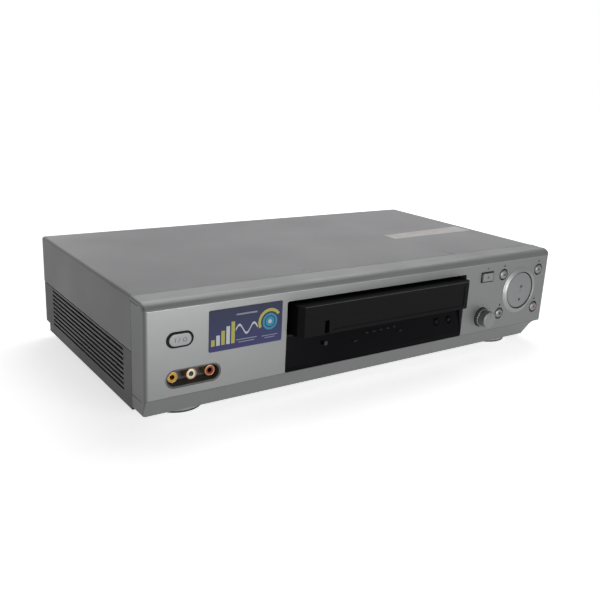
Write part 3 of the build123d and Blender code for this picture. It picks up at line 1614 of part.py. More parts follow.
# ---- Write every piece --------------------------------------------------------------------
os.makedirs("parts", exist_ok=True)
save("main_frame", main_frame())
save("top_cover", top_cover())
save("cover_screws", cover_screws())
save("rear_panel", rear_panel())
save("front_bezel", front_bezel())
save("bay_frame", bay_frame())
save("display_window", display_window())
save("display_tube", display_tube())
save("power_surround", power_surround())
save("av_recess", av_recess())
save("jack_shells", jack_shells())
save("video_jack_inserts", jack_inserts(0))
save("left_jack_inserts", jack_inserts(1))
save("right_jack_inserts", jack_inserts(2))
save("rear_jack_block", rear_jack_block())
save("play_ring", play_ring())
save("feet", feet())
save("main_board", main_board())
save("front_boards", front_boards())
save("key_switches", key_switches())
save("transformer", transformer())
save("capacitors", capacitors())
save("tuner_can", tuner_can())
save("aerial_sockets", aerial_sockets())
save("mains_inlet", mains_inlet())
save("inlet_pins", inlet_pins())
save("deck_plate", deck_plate())
save("lower_drum", lower_drum())
save("upper_drum", upper_drum())
save("erase_head", erase_head())
save("control_head", control_head())
save("tape_guides", tape_guides())
save("capstan_motor", capstan_motor())
save("capstan", capstan())
save("pinch_arm", pinch_arm())
save("pinch_roller", pinch_roller())
save("supply_spindle", reel_spindle(-1))
save("takeup_spindle", reel_spindle(1))
save("loading_motor", loading_motor())
save("carriage_frame", carriage_frame())
save("cassette_holder", cassette_holder())
save("cassette_flap", cassette_flap())
save("timer_encoder", timer_encoder())
save("timer_plunger", timer_plunger())
save("timer_knob", timer_knob())
save("power_button", power_button())
save("eject_button", eject_button())
for name, (x, z) in key_places.items():
    save(name, round_key(x, z))
for name, (x, z) in channel_places.items():
    save(name, channel_key(x, z))
save("play_disc", play_disc())
save("cassette_base", cassette_base())
save("cassette_top", cassette_top())
save("cassette_lid", cassette_lid())
save("supply_reel", tape_reel(-1, pack_radius_supply))
save("takeup_reel", tape_reel(1, pack_radius_takeup))
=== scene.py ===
# %% [markdown]
# A video cassette recorder with a cassette standing in its slot.
# The solid model comes in as a fixed frame: every node is already at its real size and place, in metres.
# This script adds the looks: finishes for each node, the fine pieces that a solid model leaves out,
# a camera, lamps and a floor. Each cell explains one piece or finish and then makes it.

# %% Load the frame
import json
import math

import bmesh
import bpy
from mathutils import Matrix, Vector


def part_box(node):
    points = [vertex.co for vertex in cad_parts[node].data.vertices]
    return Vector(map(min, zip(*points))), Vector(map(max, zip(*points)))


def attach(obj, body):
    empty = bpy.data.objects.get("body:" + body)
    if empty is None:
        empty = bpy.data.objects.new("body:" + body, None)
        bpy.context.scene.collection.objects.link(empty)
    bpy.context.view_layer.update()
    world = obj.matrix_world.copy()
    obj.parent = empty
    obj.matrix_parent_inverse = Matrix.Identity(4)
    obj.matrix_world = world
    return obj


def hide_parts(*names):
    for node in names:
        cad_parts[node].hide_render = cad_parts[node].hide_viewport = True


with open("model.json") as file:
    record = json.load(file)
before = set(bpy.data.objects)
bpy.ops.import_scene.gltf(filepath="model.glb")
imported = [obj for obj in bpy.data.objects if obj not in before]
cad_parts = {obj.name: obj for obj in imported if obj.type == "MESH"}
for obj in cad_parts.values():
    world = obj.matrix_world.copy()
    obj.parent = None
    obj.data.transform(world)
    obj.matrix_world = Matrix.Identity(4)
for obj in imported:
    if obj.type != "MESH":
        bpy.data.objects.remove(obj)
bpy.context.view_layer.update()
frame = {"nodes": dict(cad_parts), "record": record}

node_slot = {part["node"]: part["material_slot"] for part in frame["record"]["subparts"]}

# %% [markdown]
# Most pieces are placed by asking the frame where a node is, so that nothing is measured twice.
# `middle_of` gives the centre of a node's box. `MM` turns millimetres into metres.
# The front face of the machine is the plane on which keys, sockets and prints are placed.

# %% Places read from the frame
MM = 0.001


def middle_of(node):
    """Centre of a node's box at rest."""
    low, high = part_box(node)
    return (low + high) / 2


bezel_low, bezel_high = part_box("front_bezel")
cover_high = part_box("top_cover")[1]
cassette_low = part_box("cassette_base")[0]
cassette_top_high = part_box("cassette_top")[1]
face_y = bezel_low.y
print("front face at y =", round(face_y, 4), "cover top at z =", round(cover_high.z, 4))

# %% [markdown]
# The camera has a normal lens and stands in front of the machine, a little above it and to its left.
# A camera looks along its own -Z axis, with X to the right and Y up, so its rotation is a matrix
# whose columns are those three directions. The small roll and shifts centre the machine in the frame.

# %% Camera
camera_place = Vector((-409.85, -577.28, 252.40)) * MM
camera_turn = 0.6158          # to the right of straight ahead, radians
camera_dip = 0.2978           # below the horizon
camera_roll = 0.0509
ahead = Vector((
    math.sin(camera_turn) * math.cos(camera_dip),
    math.cos(camera_turn) * math.cos(camera_dip),
    -math.sin(camera_dip),
))
level = Vector((math.cos(camera_turn), -math.sin(camera_turn), 0))
upward = level.cross(ahead)
right = math.cos(camera_roll) * level + math.sin(camera_roll) * upward
over = math.cos(camera_roll) * upward - math.sin(camera_roll) * level

camera = bpy.data.objects.new("camera", bpy.data.cameras.new("camera"))
bpy.context.scene.collection.objects.link(camera)
turn = Matrix((right, over, -ahead)).transposed().to_4x4()
camera.matrix_world = Matrix.Translation(camera_place) @ turn
camera.data.sensor_width = 36
camera.data.lens = 45.357
camera.data.shift_x = -0.0037
camera.data.shift_y = 0.0067
camera.data.clip_start = 0.01
camera.data.clip_end = 50
bpy.context.scene.camera = camera
bpy.context.scene.view_settings.view_transform = "Standard"
print("lens", camera.data.lens, "mm, distance", round(camera_place.length, 3), "m")

# %% [markdown]
# A material is a small network of nodes that ends in a Principled shader. These two helpers keep
# the later cells short: one starts a material, the other adds a node and fills in its inputs.
# Object coordinates are used for every pattern, so a pattern stays put on its piece, in real metres.

# %% Helpers for materials


def start_material(name, colour, roughness, metallic=0.0):
    """New material with a Principled shader: returns the material, its nodes' tree and the shader."""
    material = bpy.data.materials.new(name)
    material.use_nodes = True
    tree = material.node_tree
    shader = tree.nodes["Principled BSDF"]
    shader.inputs["Base Color"].default_value = (*colour, 1)
    shader.inputs["Roughness"].default_value = roughness
    shader.inputs["Metallic"].default_value = metallic
    material.diffuse_color = (*colour, 1)
    return material, tree, shader


def add_node(tree, kind, **inputs):
    """New node of a kind. Names that are inputs are filled in, and the others are set on the node."""
    node = tree.nodes.new("ShaderNode" + kind)
    for name, value in inputs.items():
        socket = name.replace("_", " ")
        if socket in node.inputs:
            node.inputs[socket].default_value = value
        else:
            setattr(node, name, value)
    return node


def pattern(tree, kind, scale, stretch=(1, 1, 1), **inputs):
    """A texture node in the piece's own coordinates. scale is in cells per metre."""
    place = add_node(tree, "TexCoord")
    spread = add_node(tree, "Mapping", Scale=stretch)
    texture = add_node(tree, kind, Scale=scale, **inputs)
    tree.links.new(place.outputs["Object"], spread.inputs["Vector"])
    tree.links.new(spread.outputs["Vector"], texture.inputs["Vector"])
    return texture


def remap(tree, value, low, high, to_low, to_high):
    """Stretches a value from one range to another, and holds it inside the second."""
    node = add_node(tree, "MapRange", From_Min=low, From_Max=high, To_Min=to_low, To_Max=to_high)
    tree.links.new(value, node.inputs["Value"])
    return node.outputs["Result"]


def mix_colours(tree, share, first, second):
    """Colour between two, by a share from 0 to 1. Either colour may be a socket or a plain colour."""
    node = add_node(tree, "Mix", data_type="RGBA")
    tree.links.new(share, node.inputs["Factor"])
    for socket, colour in ((node.inputs[6], first), (node.inputs[7], second)):
        if isinstance(colour, tuple):
            socket.default_value = (*colour, 1)
        else:
            tree.links.new(colour, socket)
    return node.outputs[2]


def raise_grain(tree, shader, height, strength, distance, edge):
    """Bump from a height socket, over edges that catch the light as if rounded by a small radius."""
    bump = add_node(tree, "Bump", Strength=strength, Distance=distance)
    soft_edge = add_node(tree, "Bevel", samples=4, Radius=edge)
    tree.links.new(soft_edge.outputs["Normal"], bump.inputs["Normal"])
    tree.links.new(height, bump.inputs["Height"])
    tree.links.new(bump.outputs["Normal"], shader.inputs["Normal"])


def shade(colour, factor):
    """A colour made lighter or darker."""
    return tuple(channel * factor for channel in colour)


# %% [markdown]
# Nearly every surface here is one of a family: a base colour that drifts a little over centimetres,
# a fine grain that shows as tiny highlights, and a gloss that handling has made uneven.
# One recipe makes them all from a few numbers, and the cells below only choose those numbers.

# %% Recipe for painted and moulded surfaces


def grained(name, colour, roughness, metallic=0.0, shine=0.5, drift=0.06, drift_scale=14,
            speck=0.04, grain_scale=2600, grain_depth=0.00003, grain_strength=0.25, uneven=0.06,
            edge=0.00025):
    """Painted or moulded finish: slow colour drift, fine specks, grain, uneven gloss, soft edges."""
    material, tree, shader = start_material(name, colour, roughness, metallic)
    shader.inputs["Specular IOR Level"].default_value = shine
    clouds = pattern(tree, "TexNoise", drift_scale, Detail=3, Roughness=0.55)
    grain = pattern(tree, "TexNoise", grain_scale, Detail=2, Roughness=0.6)
    cloud_share = remap(tree, clouds.outputs["Fac"], 0.3, 0.7, 0, 1)
    speck_share = remap(tree, grain.outputs["Fac"], 0.35, 0.65, 0, 1)
    drifted = mix_colours(tree, cloud_share, shade(colour, 1 - drift), shade(colour, 1 + drift))
    light = mix_colours(tree, speck_share, shade(colour, 1 - speck), shade(colour, 1 + speck))
    blend = add_node(tree, "Mix", data_type="RGBA", Factor=0.5)
    tree.links.new(drifted, blend.inputs[6])
    tree.links.new(light, blend.inputs[7])
    tree.links.new(blend.outputs[2], shader.inputs["Base Color"])
    gloss = remap(tree, clouds.outputs["Fac"], 0.3, 0.7, roughness - uneven, roughness + uneven)
    tree.links.new(gloss, shader.inputs["Roughness"])
    raise_grain(tree, shader, grain.outputs["Fac"], grain_strength, grain_depth, edge)
    return material, tree, shader


# %% [markdown]
# The silver of the front is lacquer with metal flakes over moulded plastic, so it is mostly metal,
# rough enough that a lamp makes one broad soft highlight on it. The same tree gets painted light: a
# thin dark line of painted shade in the crease where the face turns into the chin, a light line of
# painted highlight along the crown, and above it a paler band of painted light on the rounded edge.
# The two flanks are drawn darker than the face.

# %% Silver lacquer of the front
finishes = {}
silver = (0.180, 0.183, 0.183)
silver_paint, silver_tree, silver_shader = grained(
    "silver_paint", silver, 0.50, metallic=0.9, drift=0.02, speck=0.10, grain_scale=3800,
    grain_strength=0.12)
finishes["silver_paint"] = silver_paint


def band(tree, axis, middle, half_width, softness=0.0002):
    """1 inside a thin band across one axis of the object's own coordinates, and 0 outside."""
    place = add_node(tree, "TexCoord")
    split = add_node(tree, "SeparateXYZ")
    tree.links.new(place.outputs["Object"], split.inputs[0])
    away = add_node(tree, "Math", operation="SUBTRACT")
    tree.links.new(split.outputs[axis], away.inputs[0])
    away.inputs[1].default_value = middle
    size = add_node(tree, "Math", operation="ABSOLUTE")
    tree.links.new(away.outputs[0], size.inputs[0])
    return remap(tree, size.outputs[0], half_width, half_width + softness, 1, 0)


def overlay(tree, shader, share, colour):
    """Lays a colour over what already feeds the shader's base colour."""
    below = shader.inputs["Base Color"].links[0].from_socket
    tree.links.new(mix_colours(tree, share, below, colour), shader.inputs["Base Color"])


def weaken(tree, share, factor):
    """A share made smaller by a factor or by another share."""
    product = add_node(tree, "Math", operation="MULTIPLY")
    tree.links.new(share, product.inputs[0])
    if isinstance(factor, float):
        product.inputs[1].default_value = factor
    else:
        tree.links.new(factor, product.inputs[1])
    return product.outputs[0]


front_only = band(silver_tree, "Y", face_y, 0.5 * MM)
# painted shade: a thin dark line in the crease where the face meets the chin
chin_painted_shade = weaken(silver_tree, band(silver_tree, "Z", 23.0 * MM, 0.15 * MM), 0.6)
overlay(silver_tree, silver_shader, weaken(silver_tree, chin_painted_shade, front_only), shade(silver, 0.35))
# painted highlight: a light line along the edge where the face meets the crown
crown_painted_highlight = weaken(silver_tree, band(silver_tree, "Z", 89.8 * MM, 0.1 * MM), 0.5)
overlay(silver_tree, silver_shader, weaken(silver_tree, crown_painted_highlight, front_only), shade(silver, 1.9))
# painted light: a paler band on the rounded crown, which lightens its dark reflection
crown_painted_light = weaken(silver_tree, band(silver_tree, "Z", 93 * MM, 1.0 * MM, 2.0 * MM),
                    band(silver_tree, "Y", face_y + 3 * MM, 3 * MM, 2 * MM))
overlay(silver_tree, silver_shader, weaken(silver_tree, crown_painted_light, 0.4), shade(silver, 1.5))
# the two flanks are drawn darker than the face
for flank_x in (bezel_low.x, bezel_high.x):
    flank = band(silver_tree, "X", flank_x, 0.8 * MM, 0.8 * MM)
    overlay(silver_tree, silver_shader, flank, shade(silver, 0.68))
print("silver lacquer:", silver)

# %% [markdown]
# The cover is sheet steel with a finely textured grey paint. It has been handled, so it carries a few
# short dark scuffs near its front edge. A scuff is a patch of stretched noise, kept inside a small
# round zone: it never repeats, and it needs no picture.

# %% Grey paint of the cover
cover_grey = (0.275, 0.273, 0.285)
cover_paint, cover_tree, cover_shader = grained(
    "cover_paint", cover_grey, 0.50, shine=0.35, drift=0.03, speck=0.09, grain_scale=2200,
    grain_strength=0.35, edge=0.0004)
finishes["cover_paint"] = cover_paint


def scuff(tree, shader, place, reach, stretch, colour):
    """A few dark strokes of stretched noise inside a round zone about a place."""
    where = add_node(tree, "TexCoord")
    offset = add_node(tree, "VectorMath", operation="SUBTRACT")
    tree.links.new(where.outputs["Object"], offset.inputs[0])
    offset.inputs[1].default_value = place
    distance = add_node(tree, "VectorMath", operation="LENGTH")
    tree.links.new(offset.outputs[0], distance.inputs[0])
    zone = remap(tree, distance.outputs["Value"], reach * 0.5, reach, 1, 0)
    strokes = pattern(tree, "TexNoise", 420, stretch, Detail=2)
    marks = remap(tree, strokes.outputs["Fac"], 0.60, 0.64, 0, 1)
    overlay(tree, shader, weaken(tree, marks, zone), colour)


seam_y = bezel_high.y
for scuff_x, scuff_y, scuff_reach in ((103, 3, 7), (102, 14, 6), (-60, 9, 4), (160, 6, 3)):
    scuff(cover_tree, cover_shader, (scuff_x * MM, seam_y + scuff_y * MM, cover_high.z),
          scuff_reach * MM, (0.35, 1.6, 1), shade(cover_grey, 0.35))
scuff(silver_tree, silver_shader, (103 * MM, face_y + 16 * MM, bezel_high.z), 7 * MM, (0.35, 1.6, 1),
      shade(silver, 0.3))
print("cover paint:", cover_grey)

# %% [markdown]
# The other finishes are one or two lines each. A dictionary keeps each under the name of the
# record's material slot it belongs to. Blacks get a low specular level: moulded black plastic
# shows its darkness only when the white room does not wash over it.

# %% Finishes of the other pieces
finishes["frame_plastic"] = grained("frame_plastic", (0.19, 0.187, 0.19), 0.55, shine=0.2, drift=0.03,
                                    grain_scale=1900, grain_strength=0.3)[0]
finishes["black_plastic"] = grained("black_plastic", (0.005, 0.005, 0.006), 0.42, shine=0.1,
                                    grain_scale=2400)[0]
finishes["window_plastic"] = grained("window_plastic", (0.002, 0.0018, 0.0026), 0.2, shine=0.04,
                                     drift=0.3, grain_strength=0.02, uneven=0.03)[0]
finishes["display_glass"] = grained("display_glass", (0.02, 0.03, 0.03), 0.1, uneven=0.02)[0]
finishes["key_silver"] = grained("key_silver", (0.19, 0.193, 0.195), 0.42, metallic=0.8, speck=0.06,
                                 grain_strength=0.08, edge=0.0004)[0]
finishes["ring_silver"] = grained("ring_silver", (0.25, 0.25, 0.25), 0.42, metallic=0.9, speck=0.06,
                                  grain_strength=0.08, edge=0.0003)[0]
finishes["channel_black"] = grained("channel_black", (0.002, 0.002, 0.002), 0.5, shine=0.04)[0]
finishes["gold_plate"] = grained("gold_plate", (0.55, 0.37, 0.15), 0.38, metallic=1.0,
                                 grain_strength=0.05)[0]
finishes["insert_yellow"] = grained("insert_yellow", (0.52, 0.29, 0.02), 0.4)[0]
finishes["insert_white"] = grained("insert_white", (0.72, 0.70, 0.64), 0.4)[0]
finishes["insert_red"] = grained("insert_red", (0.24, 0.007, 0.005), 0.4)[0]
finishes["bright_metal"] = grained("bright_metal", (0.62, 0.62, 0.60), 0.28, metallic=1.0)[0]
finishes["rear_sheet"] = grained("rear_sheet", (0.11, 0.11, 0.115), 0.45, grain_strength=0.3)[0]
finishes["foot_plastic"] = grained("foot_plastic", (0.30, 0.30, 0.305), 0.5, shine=0.3)[0]
finishes["circuit_board"] = grained("circuit_board", (0.10, 0.17, 0.05), 0.4)[0]
finishes["zinc_sheet"] = grained("zinc_sheet", (0.52, 0.52, 0.50), 0.36, metallic=0.9, drift=0.12)[0]
finishes["core_steel"] = grained("core_steel", (0.12, 0.12, 0.13), 0.5, metallic=0.7)[0]
finishes["can_sleeve"] = grained("can_sleeve", (0.012, 0.02, 0.09), 0.35)[0]
finishes["drum_metal"] = grained("drum_metal", (0.72, 0.72, 0.73), 0.2, metallic=1.0)[0]
finishes["motor_steel"] = grained("motor_steel", (0.42, 0.42, 0.42), 0.34, metallic=0.9)[0]
finishes["roller_rubber"] = grained("roller_rubber", (0.016, 0.016, 0.016), 0.75)[0]
finishes["spindle_plastic"] = grained("spindle_plastic", (0.03, 0.03, 0.03), 0.4)[0]
shell_plastic, shell_tree, shell_shader = grained(
    "cassette_plastic", (0.0045, 0.0045, 0.005), 0.5, shine=0.05, grain_scale=2000, grain_strength=0.4)
# painted highlight: a lighter line along the top front edge of the cassette's spine
painted_spine_highlight = weaken(shell_tree, band(shell_tree, "Z", cassette_top_high.z, 0.25 * MM),
                   band(shell_tree, "Y", cassette_low.y, 0.25 * MM))
overlay(shell_tree, shell_shader, weaken(shell_tree, painted_spine_highlight, 0.8), (0.08, 0.08, 0.085))
finishes["cassette_plastic"] = shell_plastic
finishes["reel_plastic"] = grained("reel_plastic", (0.60, 0.60, 0.57), 0.4)[0]

for node, node_object in frame["nodes"].items():
    node_object.data.materials.clear()
    node_object.data.materials.append(finishes[node_slot[node]])
recess_plastic = grained("recess_plastic", (0.10, 0.096, 0.094), 0.5, shine=0.2, grain_scale=1900)[0]
frame["nodes"]["av_recess"].data.materials[0] = recess_plastic
print("finishes:", len(finishes))

# %% [markdown]
# The room is a plain studio: a pale floor that shows the machine's soft shadow, and a white far wall.
# Two low lamps in front make the broad highlight on the left of the silver face. A broad lamp above
# and behind lights the cover without shining in the rounded edge, and a weak one lights the back.

# %% Floor, surround and lamps
floor_half = 6.0
floor_fade = (0.45, 1.3)      # from the first distance to the second the floor turns plain white
room_light = 0.12             # how strongly the surround lights plain surfaces
ceiling_shade = 0.30          # the ceiling's grey, against a white far wall
near_shade = 0.7              # the near wall's
# name, place, aim, size, watts
lamps = (
    ("low_lamp", (0.10, -0.90, 0.05), (-0.05, -0.10, 0.05), 0.35, 3.6),
    ("near_lamp", (-0.05, -0.70, 0.04), (-0.05, -0.10, 0.05), 0.35, 2.3),
    ("top_lamp", (0.50, 0.55, 1.20), (0, 0, 0.05), 1.2, 10.3),
    ("back_lamp", (-0.10, 1.30, 0.35), (0, 0.1, 0.04), 0.6, 2.0),
)


def seen_or_mirrored(tree, transmission):
    """1 for rays from the camera and from glossy or clear surfaces, and 0 for plain lighting."""
    path = add_node(tree, "LightPath")
    first = add_node(tree, "Math", operation="MAXIMUM")
    tree.links.new(path.outputs["Is Camera Ray"], first.inputs[0])
    tree.links.new(path.outputs["Is Glossy Ray"], first.inputs[1])
    if not transmission:
        return first.outputs[0]
    second = add_node(tree, "Math", operation="MAXIMUM")
    tree.links.new(first.outputs[0], second.inputs[0])
    tree.links.new(path.outputs["Is Transmission Ray"], second.inputs[1])
    return second.outputs[0]


def studio_floor():
    """Large flat floor, white to the eye, that keeps the shadow."""
    mesh = bpy.data.meshes.new("studio_floor")
    corners = [(-floor_half, -floor_half, 0), (floor_half, -floor_half, 0),
               (floor_half, floor_half, 0), (-floor_half, floor_half, 0)]
    mesh.from_pydata(corners, [], [(0, 1, 2, 3)])
    floor = bpy.data.objects.new("studio_floor", mesh)
    bpy.context.scene.collection.objects.link(floor)
    material, tree, shader = start_material("studio_floor", (0.92, 0.92, 0.92), 0.9)
    shader.inputs["Specular IOR Level"].default_value = 0
    shader.inputs["Emission Color"].default_value = (1, 1, 1, 1)
    place = add_node(tree, "TexCoord")
    distance = add_node(tree, "VectorMath", operation="LENGTH")
    tree.links.new(place.outputs["Object"], distance.inputs[0])
    base_glow = remap(tree, distance.outputs["Value"], *floor_fade, 0.70, 1.0)
    glow = add_node(tree, "Math", operation="MULTIPLY")
    tree.links.new(base_glow, glow.inputs[0])
    tree.links.new(seen_or_mirrored(tree, False), glow.inputs[1])
    tree.links.new(glow.outputs[0], shader.inputs["Emission Strength"])
    mesh.materials.append(material)
    return floor


def studio_surround():
    """World: white walls that shade into a grey ceiling, seen in full and softer as a light."""
    world = bpy.data.worlds.new("studio")
    bpy.context.scene.world = world
    world.use_nodes = True
    tree = world.node_tree
    background = tree.nodes["Background"]
    place = add_node(tree, "TexCoord")
    split = add_node(tree, "SeparateXYZ")
    tree.links.new(place.outputs["Generated"], split.inputs[0])
    height_share = remap(tree, split.outputs["Z"], 0.35, 0.8, 0, 1)
    near_share = remap(tree, split.outputs["Y"], 0.1, -0.4, 0, 1)
    walls = mix_colours(tree, near_share, (1.0, 1.0, 1.0), (near_shade,) * 3)
    room = mix_colours(tree, height_share, walls, (ceiling_shade,) * 3)
    tree.links.new(room, background.inputs["Color"])
    strength = remap(tree, seen_or_mirrored(tree, True), 0, 1, room_light, 1)
    tree.links.new(strength, background.inputs["Strength"])


def soft_lamp(name, place, aim, size, power):
    """Square area lamp that points at a place."""
    lamp = bpy.data.objects.new(name, bpy.data.lights.new(name, "AREA"))
    lamp.data.size = size
    lamp.data.energy = power
    lamp.location = place
    lamp.rotation_euler = (Vector(aim) - Vector(place)).to_track_quat("-Z", "Y").to_euler()
    lamp.visible_camera = False
    bpy.context.scene.collection.objects.link(lamp)
    return lamp


studio_floor()
studio_surround()
for lamp_name, lamp_place, lamp_aim, lamp_size, lamp_power in lamps:
    soft_lamp(lamp_name, lamp_place, lamp_aim, lamp_size, lamp_power)

# %% [markdown]
# Prints, icons and stickers are thin plates: a flat outline given a small thickness. Real print is
# ink a few hundredths of a millimetre thick, and a plate of that kind keeps its sharp edge at any
# distance. These helpers draw outlines in the plane of the front, x to the right and z up, and turn
# a list of outlines into one closed mesh.

# %% Helpers for flat plates


def rectangle(x, z, width, height):
    """Outline of a rectangle about its middle, all in millimetres."""
    left, low = x - width / 2, z - height / 2
    return [(left, low), (left + width, low), (left + width, low + height), (left, low + height)]


def rounded_rectangle(x, z, width, height, corner, steps=5):
    """Outline of a rectangle with rounded corners."""
    outline = []
    for quarter, (side, level) in enumerate(((1, -1), (1, 1), (-1, 1), (-1, -1))):
        middle_x = x + side * (width / 2 - corner)
        middle_z = z + level * (height / 2 - corner)
        for step in range(steps + 1):
            angle = math.radians(90 * (quarter - 1) + 90 * step / steps)
            outline.append((middle_x + corner * math.cos(angle), middle_z + corner * math.sin(angle)))
    return outline


def disc(x, z, radius, steps=40):
    """Outline of a circle."""
    turns = [math.tau * step / steps for step in range(steps)]
    return [(x + radius * math.cos(turn), z + radius * math.sin(turn)) for turn in turns]


def triangle(x, z, width, height, way=1):
    """Outline of a triangle that points right (way 1) or left (-1)."""
    tip = (x + way * width / 2, z)
    back = x - way * width / 2
    corners = [(back, z - height / 2), tip, (back, z + height / 2)]
    return corners if way > 0 else corners[::-1]


def add_plate(shape, outline, front, thickness):
    """Adds a closed plate to a bmesh: its front lies at y = front, in metres."""
    near = [shape.verts.new((x * MM, front, z * MM)) for x, z in outline]
    far = [shape.verts.new((x * MM, front + thickness, z * MM)) for x, z in outline]
    shape.faces.new(near)
    shape.faces.new(far[::-1])
    for here in range(len(outline)):
        after = (here + 1) % len(outline)
        shape.faces.new((near[here], far[here], far[after], near[after]))


def add_strip(shape, inner, outer, front, thickness):
    """Adds a plate between two lines of points, such as an arc or a wave."""
    for here in range(len(inner) - 1):
        add_plate(shape, [inner[here], outer[here], outer[here + 1], inner[here + 1]], front, thickness)


def add_arc(shape, x, z, radius, width, start, end, front, thickness, steps=36):
    """Adds a curved band about a middle, from one angle to another, in degrees."""
    turns = [math.radians(start + (end - start) * step / steps) for step in range(steps + 1)]
    lines = []
    for reach in (radius - width / 2, radius + width / 2):
        lines.append([(x + reach * math.cos(turn), z + reach * math.sin(turn)) for turn in turns])
    add_strip(shape, lines[0], lines[1], front, thickness)


def add_ring(shape, inner, outer, front, thickness):
    """Adds a closed frame between two outlines."""
    add_strip(shape, inner + inner[:1], outer + outer[:1], front, thickness)


def finish_piece(name, shape, body, material):
    """Turns a bmesh into a piece that rides on a body."""
    bmesh.ops.remove_doubles(shape, verts=shape.verts, dist=1e-7)
    inner_faces = [face for face in shape.faces if all(len(edge.link_faces) > 2 for edge in face.edges)]
    bmesh.ops.delete(shape, geom=inner_faces, context="FACES_ONLY")
    bmesh.ops.recalc_face_normals(shape, faces=shape.faces)
    mesh = bpy.data.meshes.new(name)
    shape.to_mesh(mesh)
    shape.free()
    mesh.materials.append(material)
    piece = bpy.data.objects.new(name, mesh)
    bpy.context.scene.collection.objects.link(piece)
    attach(piece, body)
    return piece


def plates(name, outlines, front, thickness, body, material):
    """One piece made of several plates of one ink."""
    shape = bmesh.new()
    for outline in outlines:
        add_plate(shape, outline, front, thickness)
    return finish_piece(name, shape, body, material)


print("plate helpers ready")

# %% [markdown]
# Ink is printed on the keys, the window and the sticker. Each ink is matt, a little uneven in
# density as screen print is, and so thin that it takes the gloss of what lies under it.

# %% Inks
inks = {}
for ink_name, ink_colour in (
    ("dark_ink", (0.012, 0.012, 0.013)), ("key_ink", (0.03, 0.031, 0.033)),
    ("red_ink", (0.30, 0.03, 0.05)), ("window_ink", (0.012, 0.012, 0.015)),
    ("yellow_ink", (0.34, 0.32, 0.07)), ("cyan_ink", (0.03, 0.20, 0.32)),
    ("white_ink", (0.42, 0.44, 0.46)), ("grey_ink", (0.20, 0.22, 0.26)), ("navy_ink", (0.015, 0.02, 0.06)),
):
    inks[ink_name] = grained(ink_name, ink_colour, 0.5, shine=0.2, drift=0.10, drift_scale=160, speck=0.12,
                             grain_strength=0.1, edge=0.00002)[0]
print("inks:", list(inks))

# %% [markdown]
# A blue sticker sits left of the cassette, as shops' machines have. Its design here is a plain one:
# rising bars, a wave and a ringed disc, none of which stands for anything. The sheet is vinyl, darker
# at its top than at its foot, which is a colour ramp along the sheet's own height.

# %% Blue sticker
sticker_middle = (-133.2, 68.2)
sticker_size = (63.6, 32.4)
sheet_thickness = 0.12 * MM
ink_thickness = 0.02 * MM
sticker_low = sticker_middle[1] - sticker_size[1] / 2
sticker_high = sticker_middle[1] + sticker_size[1] / 2

vinyl, vinyl_tree, vinyl_shader = grained("blue_vinyl", (0.05, 0.06, 0.16), 0.35, shine=0.25, drift=0.04,
                                          grain_strength=0.05, edge=0.00005)
vinyl_place = add_node(vinyl_tree, "TexCoord")
vinyl_split = add_node(vinyl_tree, "SeparateXYZ")
vinyl_tree.links.new(vinyl_place.outputs["Object"], vinyl_split.inputs[0])
foot_share = remap(vinyl_tree, vinyl_split.outputs["Z"], sticker_high * MM, sticker_low * MM, 0, 1)
ramp = mix_colours(vinyl_tree, foot_share, (0.004, 0.009, 0.030), (0.026, 0.027, 0.105))
grain_share = remap(vinyl_tree, pattern(vinyl_tree, "TexNoise", 900).outputs["Fac"], 0.3, 0.7, 0, 0.12)
vinyl_tree.links.new(mix_colours(vinyl_tree, grain_share, ramp, (0.03, 0.034, 0.12)),
                     vinyl_shader.inputs["Base Color"])
plates("sticker_sheet", [rounded_rectangle(*sticker_middle, *sticker_size, 1.4)],
       face_y - sheet_thickness, sheet_thickness, "chassis", vinyl)
ink_front = face_y - sheet_thickness - ink_thickness
print("sticker from z", sticker_low, "to", sticker_high)

# %% [markdown]
# The design is printed on the vinyl, so each motif is a plate a few hundredths of a millimetre thick.
# The bars are plain rectangles of growing height, made in one loop.

# %% Rising bars, left on the sticker
bar_heights = (5, 8, 11, 14, 17)
bar_pitch = 4.2
bar_first = -161.5
bar_foot = 56.5
white_bars = []
yellow_bars = []
for number, bar_height in enumerate(bar_heights):
    outline = rectangle(bar_first + number * bar_pitch, bar_foot + bar_height / 2, 3.0, bar_height)
    (white_bars if number % 2 else yellow_bars).append(outline)
plates("sticker_bars_white", white_bars, ink_front, ink_thickness, "chassis", inks["white_ink"])
plates("sticker_bars_yellow", yellow_bars, ink_front, ink_thickness, "chassis", inks["yellow_ink"])
print("bars:", len(bar_heights))

# %% [markdown]
# The disc is a flat plate with rings over it. A ring is a band between two circles, and the arc
# round them is part of such a band.

# %% Ringed disc, right on the sticker
disc_x, disc_z = -112.5, 69.0
plates("sticker_disc", [disc(disc_x, disc_z, 6.6)], ink_front, ink_thickness, "chassis", inks["cyan_ink"])
ring_shape = bmesh.new()
add_arc(ring_shape, disc_x, disc_z, 4.4, 0.8, 0, 360, ink_front - ink_thickness, ink_thickness)
finish_piece("sticker_ring_inner", ring_shape, "chassis", inks["navy_ink"])
plates("sticker_hub", [disc(disc_x, disc_z, 1.6, 24)], ink_front - ink_thickness, ink_thickness,
       "chassis", inks["white_ink"])
arc_shape = bmesh.new()
add_arc(arc_shape, disc_x, disc_z, 9.3, 2.4, 35, 205, ink_front, ink_thickness)
finish_piece("sticker_arc", arc_shape, "chassis", inks["yellow_ink"])
print("disc at", disc_x, disc_z)

# %% [markdown]
# The wave is a band between two lines of points that follow a sine. The fine lines stand where small
# print would be, and say nothing.

